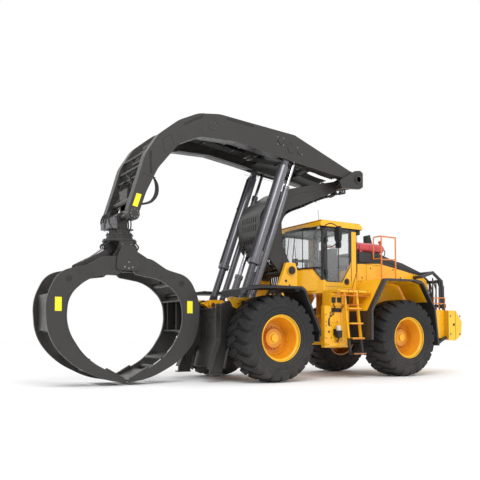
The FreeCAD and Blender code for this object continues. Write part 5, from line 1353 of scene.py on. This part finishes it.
def jaw(name, way):
    """Pieces on one jaw; way is 1 for the front jaw and -1 for the rear one."""
    def placed(places):
        return [(TIP_X + way * reach, z) for reach, z in places]

    body = "jaw_" + name
    work = Work(body)
    # plates across the jaw and two ribs near its middle
    for outline in ([(1130, 1010), (1360, 980), (1375, 1010), (1150, 1040)],
                    [(1100, 1590), (1440, 1640), (1435, 1672), (1095, 1622)],
                    [(1400, 1010), (1428, 1010), (1440, 1640), (1412, 1640)],
                    [(700, 470), (1010, 560), (1000, 590), (695, 500)],
                    [(20, 62), (470, 240), (462, 268), (20, 96)]):
        work.slab(placed(outline), -404, 404)
    for y in (-200, 200):
        work.slab(placed([(1120, 1040), (1400, 1010), (1412, 1640), (1120, 1600)]), y - 9, y + 9)
    for work.side in SIDES:
        # a wear strip inside the palm, and the heel's doubler
        palm = [Vector(place) for place in ((800, 505), (1165, 1080), (1120, 1640), (740, 1985))]
        for start, end in zip(palm, palm[1:]):
            run = (end - start).normalized()
            depth = Vector((run.y, -run.x)) * 14
            work.slab(placed([start, end, end + depth, start + depth]), 398, 457)
        work.slab(placed([(60, 100), (420, 300), (400, 330), (60, 140)]), 396, 459)
    work.done(body + "_ribs", "boom_charcoal", 3)

    (eye_x, eye_z), (drain_x, drain_z), (label_x, label_z) = placed(
        [(1119, 1940), (1273, 711), (1302, 1357 if way > 0 else 1360)])
    label_top = 1605 if way > 0 else 1600
    barrel = "jaw_barrel_" + name
    for work, cover in zip(both(body), both(barrel)):
        work.trace(JAW_FACE + 2, closed(circle(eye_x, eye_z, 55, 40)), 6)
        work.trace(JAW_FACE + 2, placed(closed([(939, 2103), (661, 2063), (668, 2010),
                                                (945, 2050)])), 4)
        work.trace(JAW_FACE + 2, placed([(300, 2130), (360, 2290), (330, 2380)]), 4)
        work.done(body + "_outlines_", "weld")
        # dark discs as painted shade in the eye's hole and the drain hole
        work.disc(eye_x, eye_z, JAW_FACE, JAW_FACE + 3, 50, 28)
        work.disc(drain_x, drain_z, JAW_FACE, JAW_FACE + 4, 18, 18)
        work.done(body + "_hole_shades_", "grille")
        work.box(label_x - 60, label_x + 60, JAW_FACE, JAW_FACE + 3.5, label_z, label_top)
        work.done(body + "_labels_", "plate_yellow")
        work.bolts(JAW_FACE + 1, placed([(1301, 702), (640, 305), (1225, 1750)]), 12, 9)
        work.done(body + "_bolts_", "bolt_dark")
        # a cover plate beside the jaw's cylinder
        cover.slab(placed([(220, 2500), (300, 2560), (880, 2240), (900, 2180), (840, 2150),
                           (260, 2420)]), 120, 132)
        cover.done(barrel + "_cover_", "boom_charcoal", 4)


for make in (screen, cab_lamps, roof, cab_seams, consoles, door, mirrors, hood_sides, hood_back,
             hood_top, bottle, tail_rails, tail, deck, deck_grips, towers, valves, guard,
             front_fenders, arm_hoses, arm_sides, arm_comb, beams, boom_hoses, boom_clamps,
             cylinders, link, rotator, head):
    make()
jaw("front", 1)
jaw("rear", -1)


# ------------------------------------------------------------- floor and light

floor_mesh = bpy.data.meshes.new("floor")
floor_mesh.from_pydata([(-60, -60, -0.002), (60, -60, -0.002), (60, 60, -0.002),
                        (-60, 60, -0.002)], [], [(0, 1, 2, 3)])
floor_mesh.materials.append(coat("floor_white", rgb("#FEFEFF"), 0.6, vary=0.0, bump=0.0))
floor = bpy.data.objects.new("floor", floor_mesh)
scene.collection.objects.link(floor)

world = bpy.data.worlds.new("world")
scene.world = world
world.use_nodes = True
sky = world.node_tree.nodes["Background"]
sky.inputs["Color"].default_value = (1.0, 1.0, 1.0, 1.0)
sky.inputs["Strength"].default_value = 1.0

key = bpy.data.lights.new("key", "AREA")
key.shape = "DISK"
key.size = 8.0
key.energy = 900.0
lamp = bpy.data.objects.new("key", key)
lamp.location = (4.0, 9.0, 12.0)
lamp.rotation_euler = (Vector((0, 0, 2)) - lamp.location).to_track_quat("-Z", "Y").to_euler()
scene.collection.objects.link(lamp)
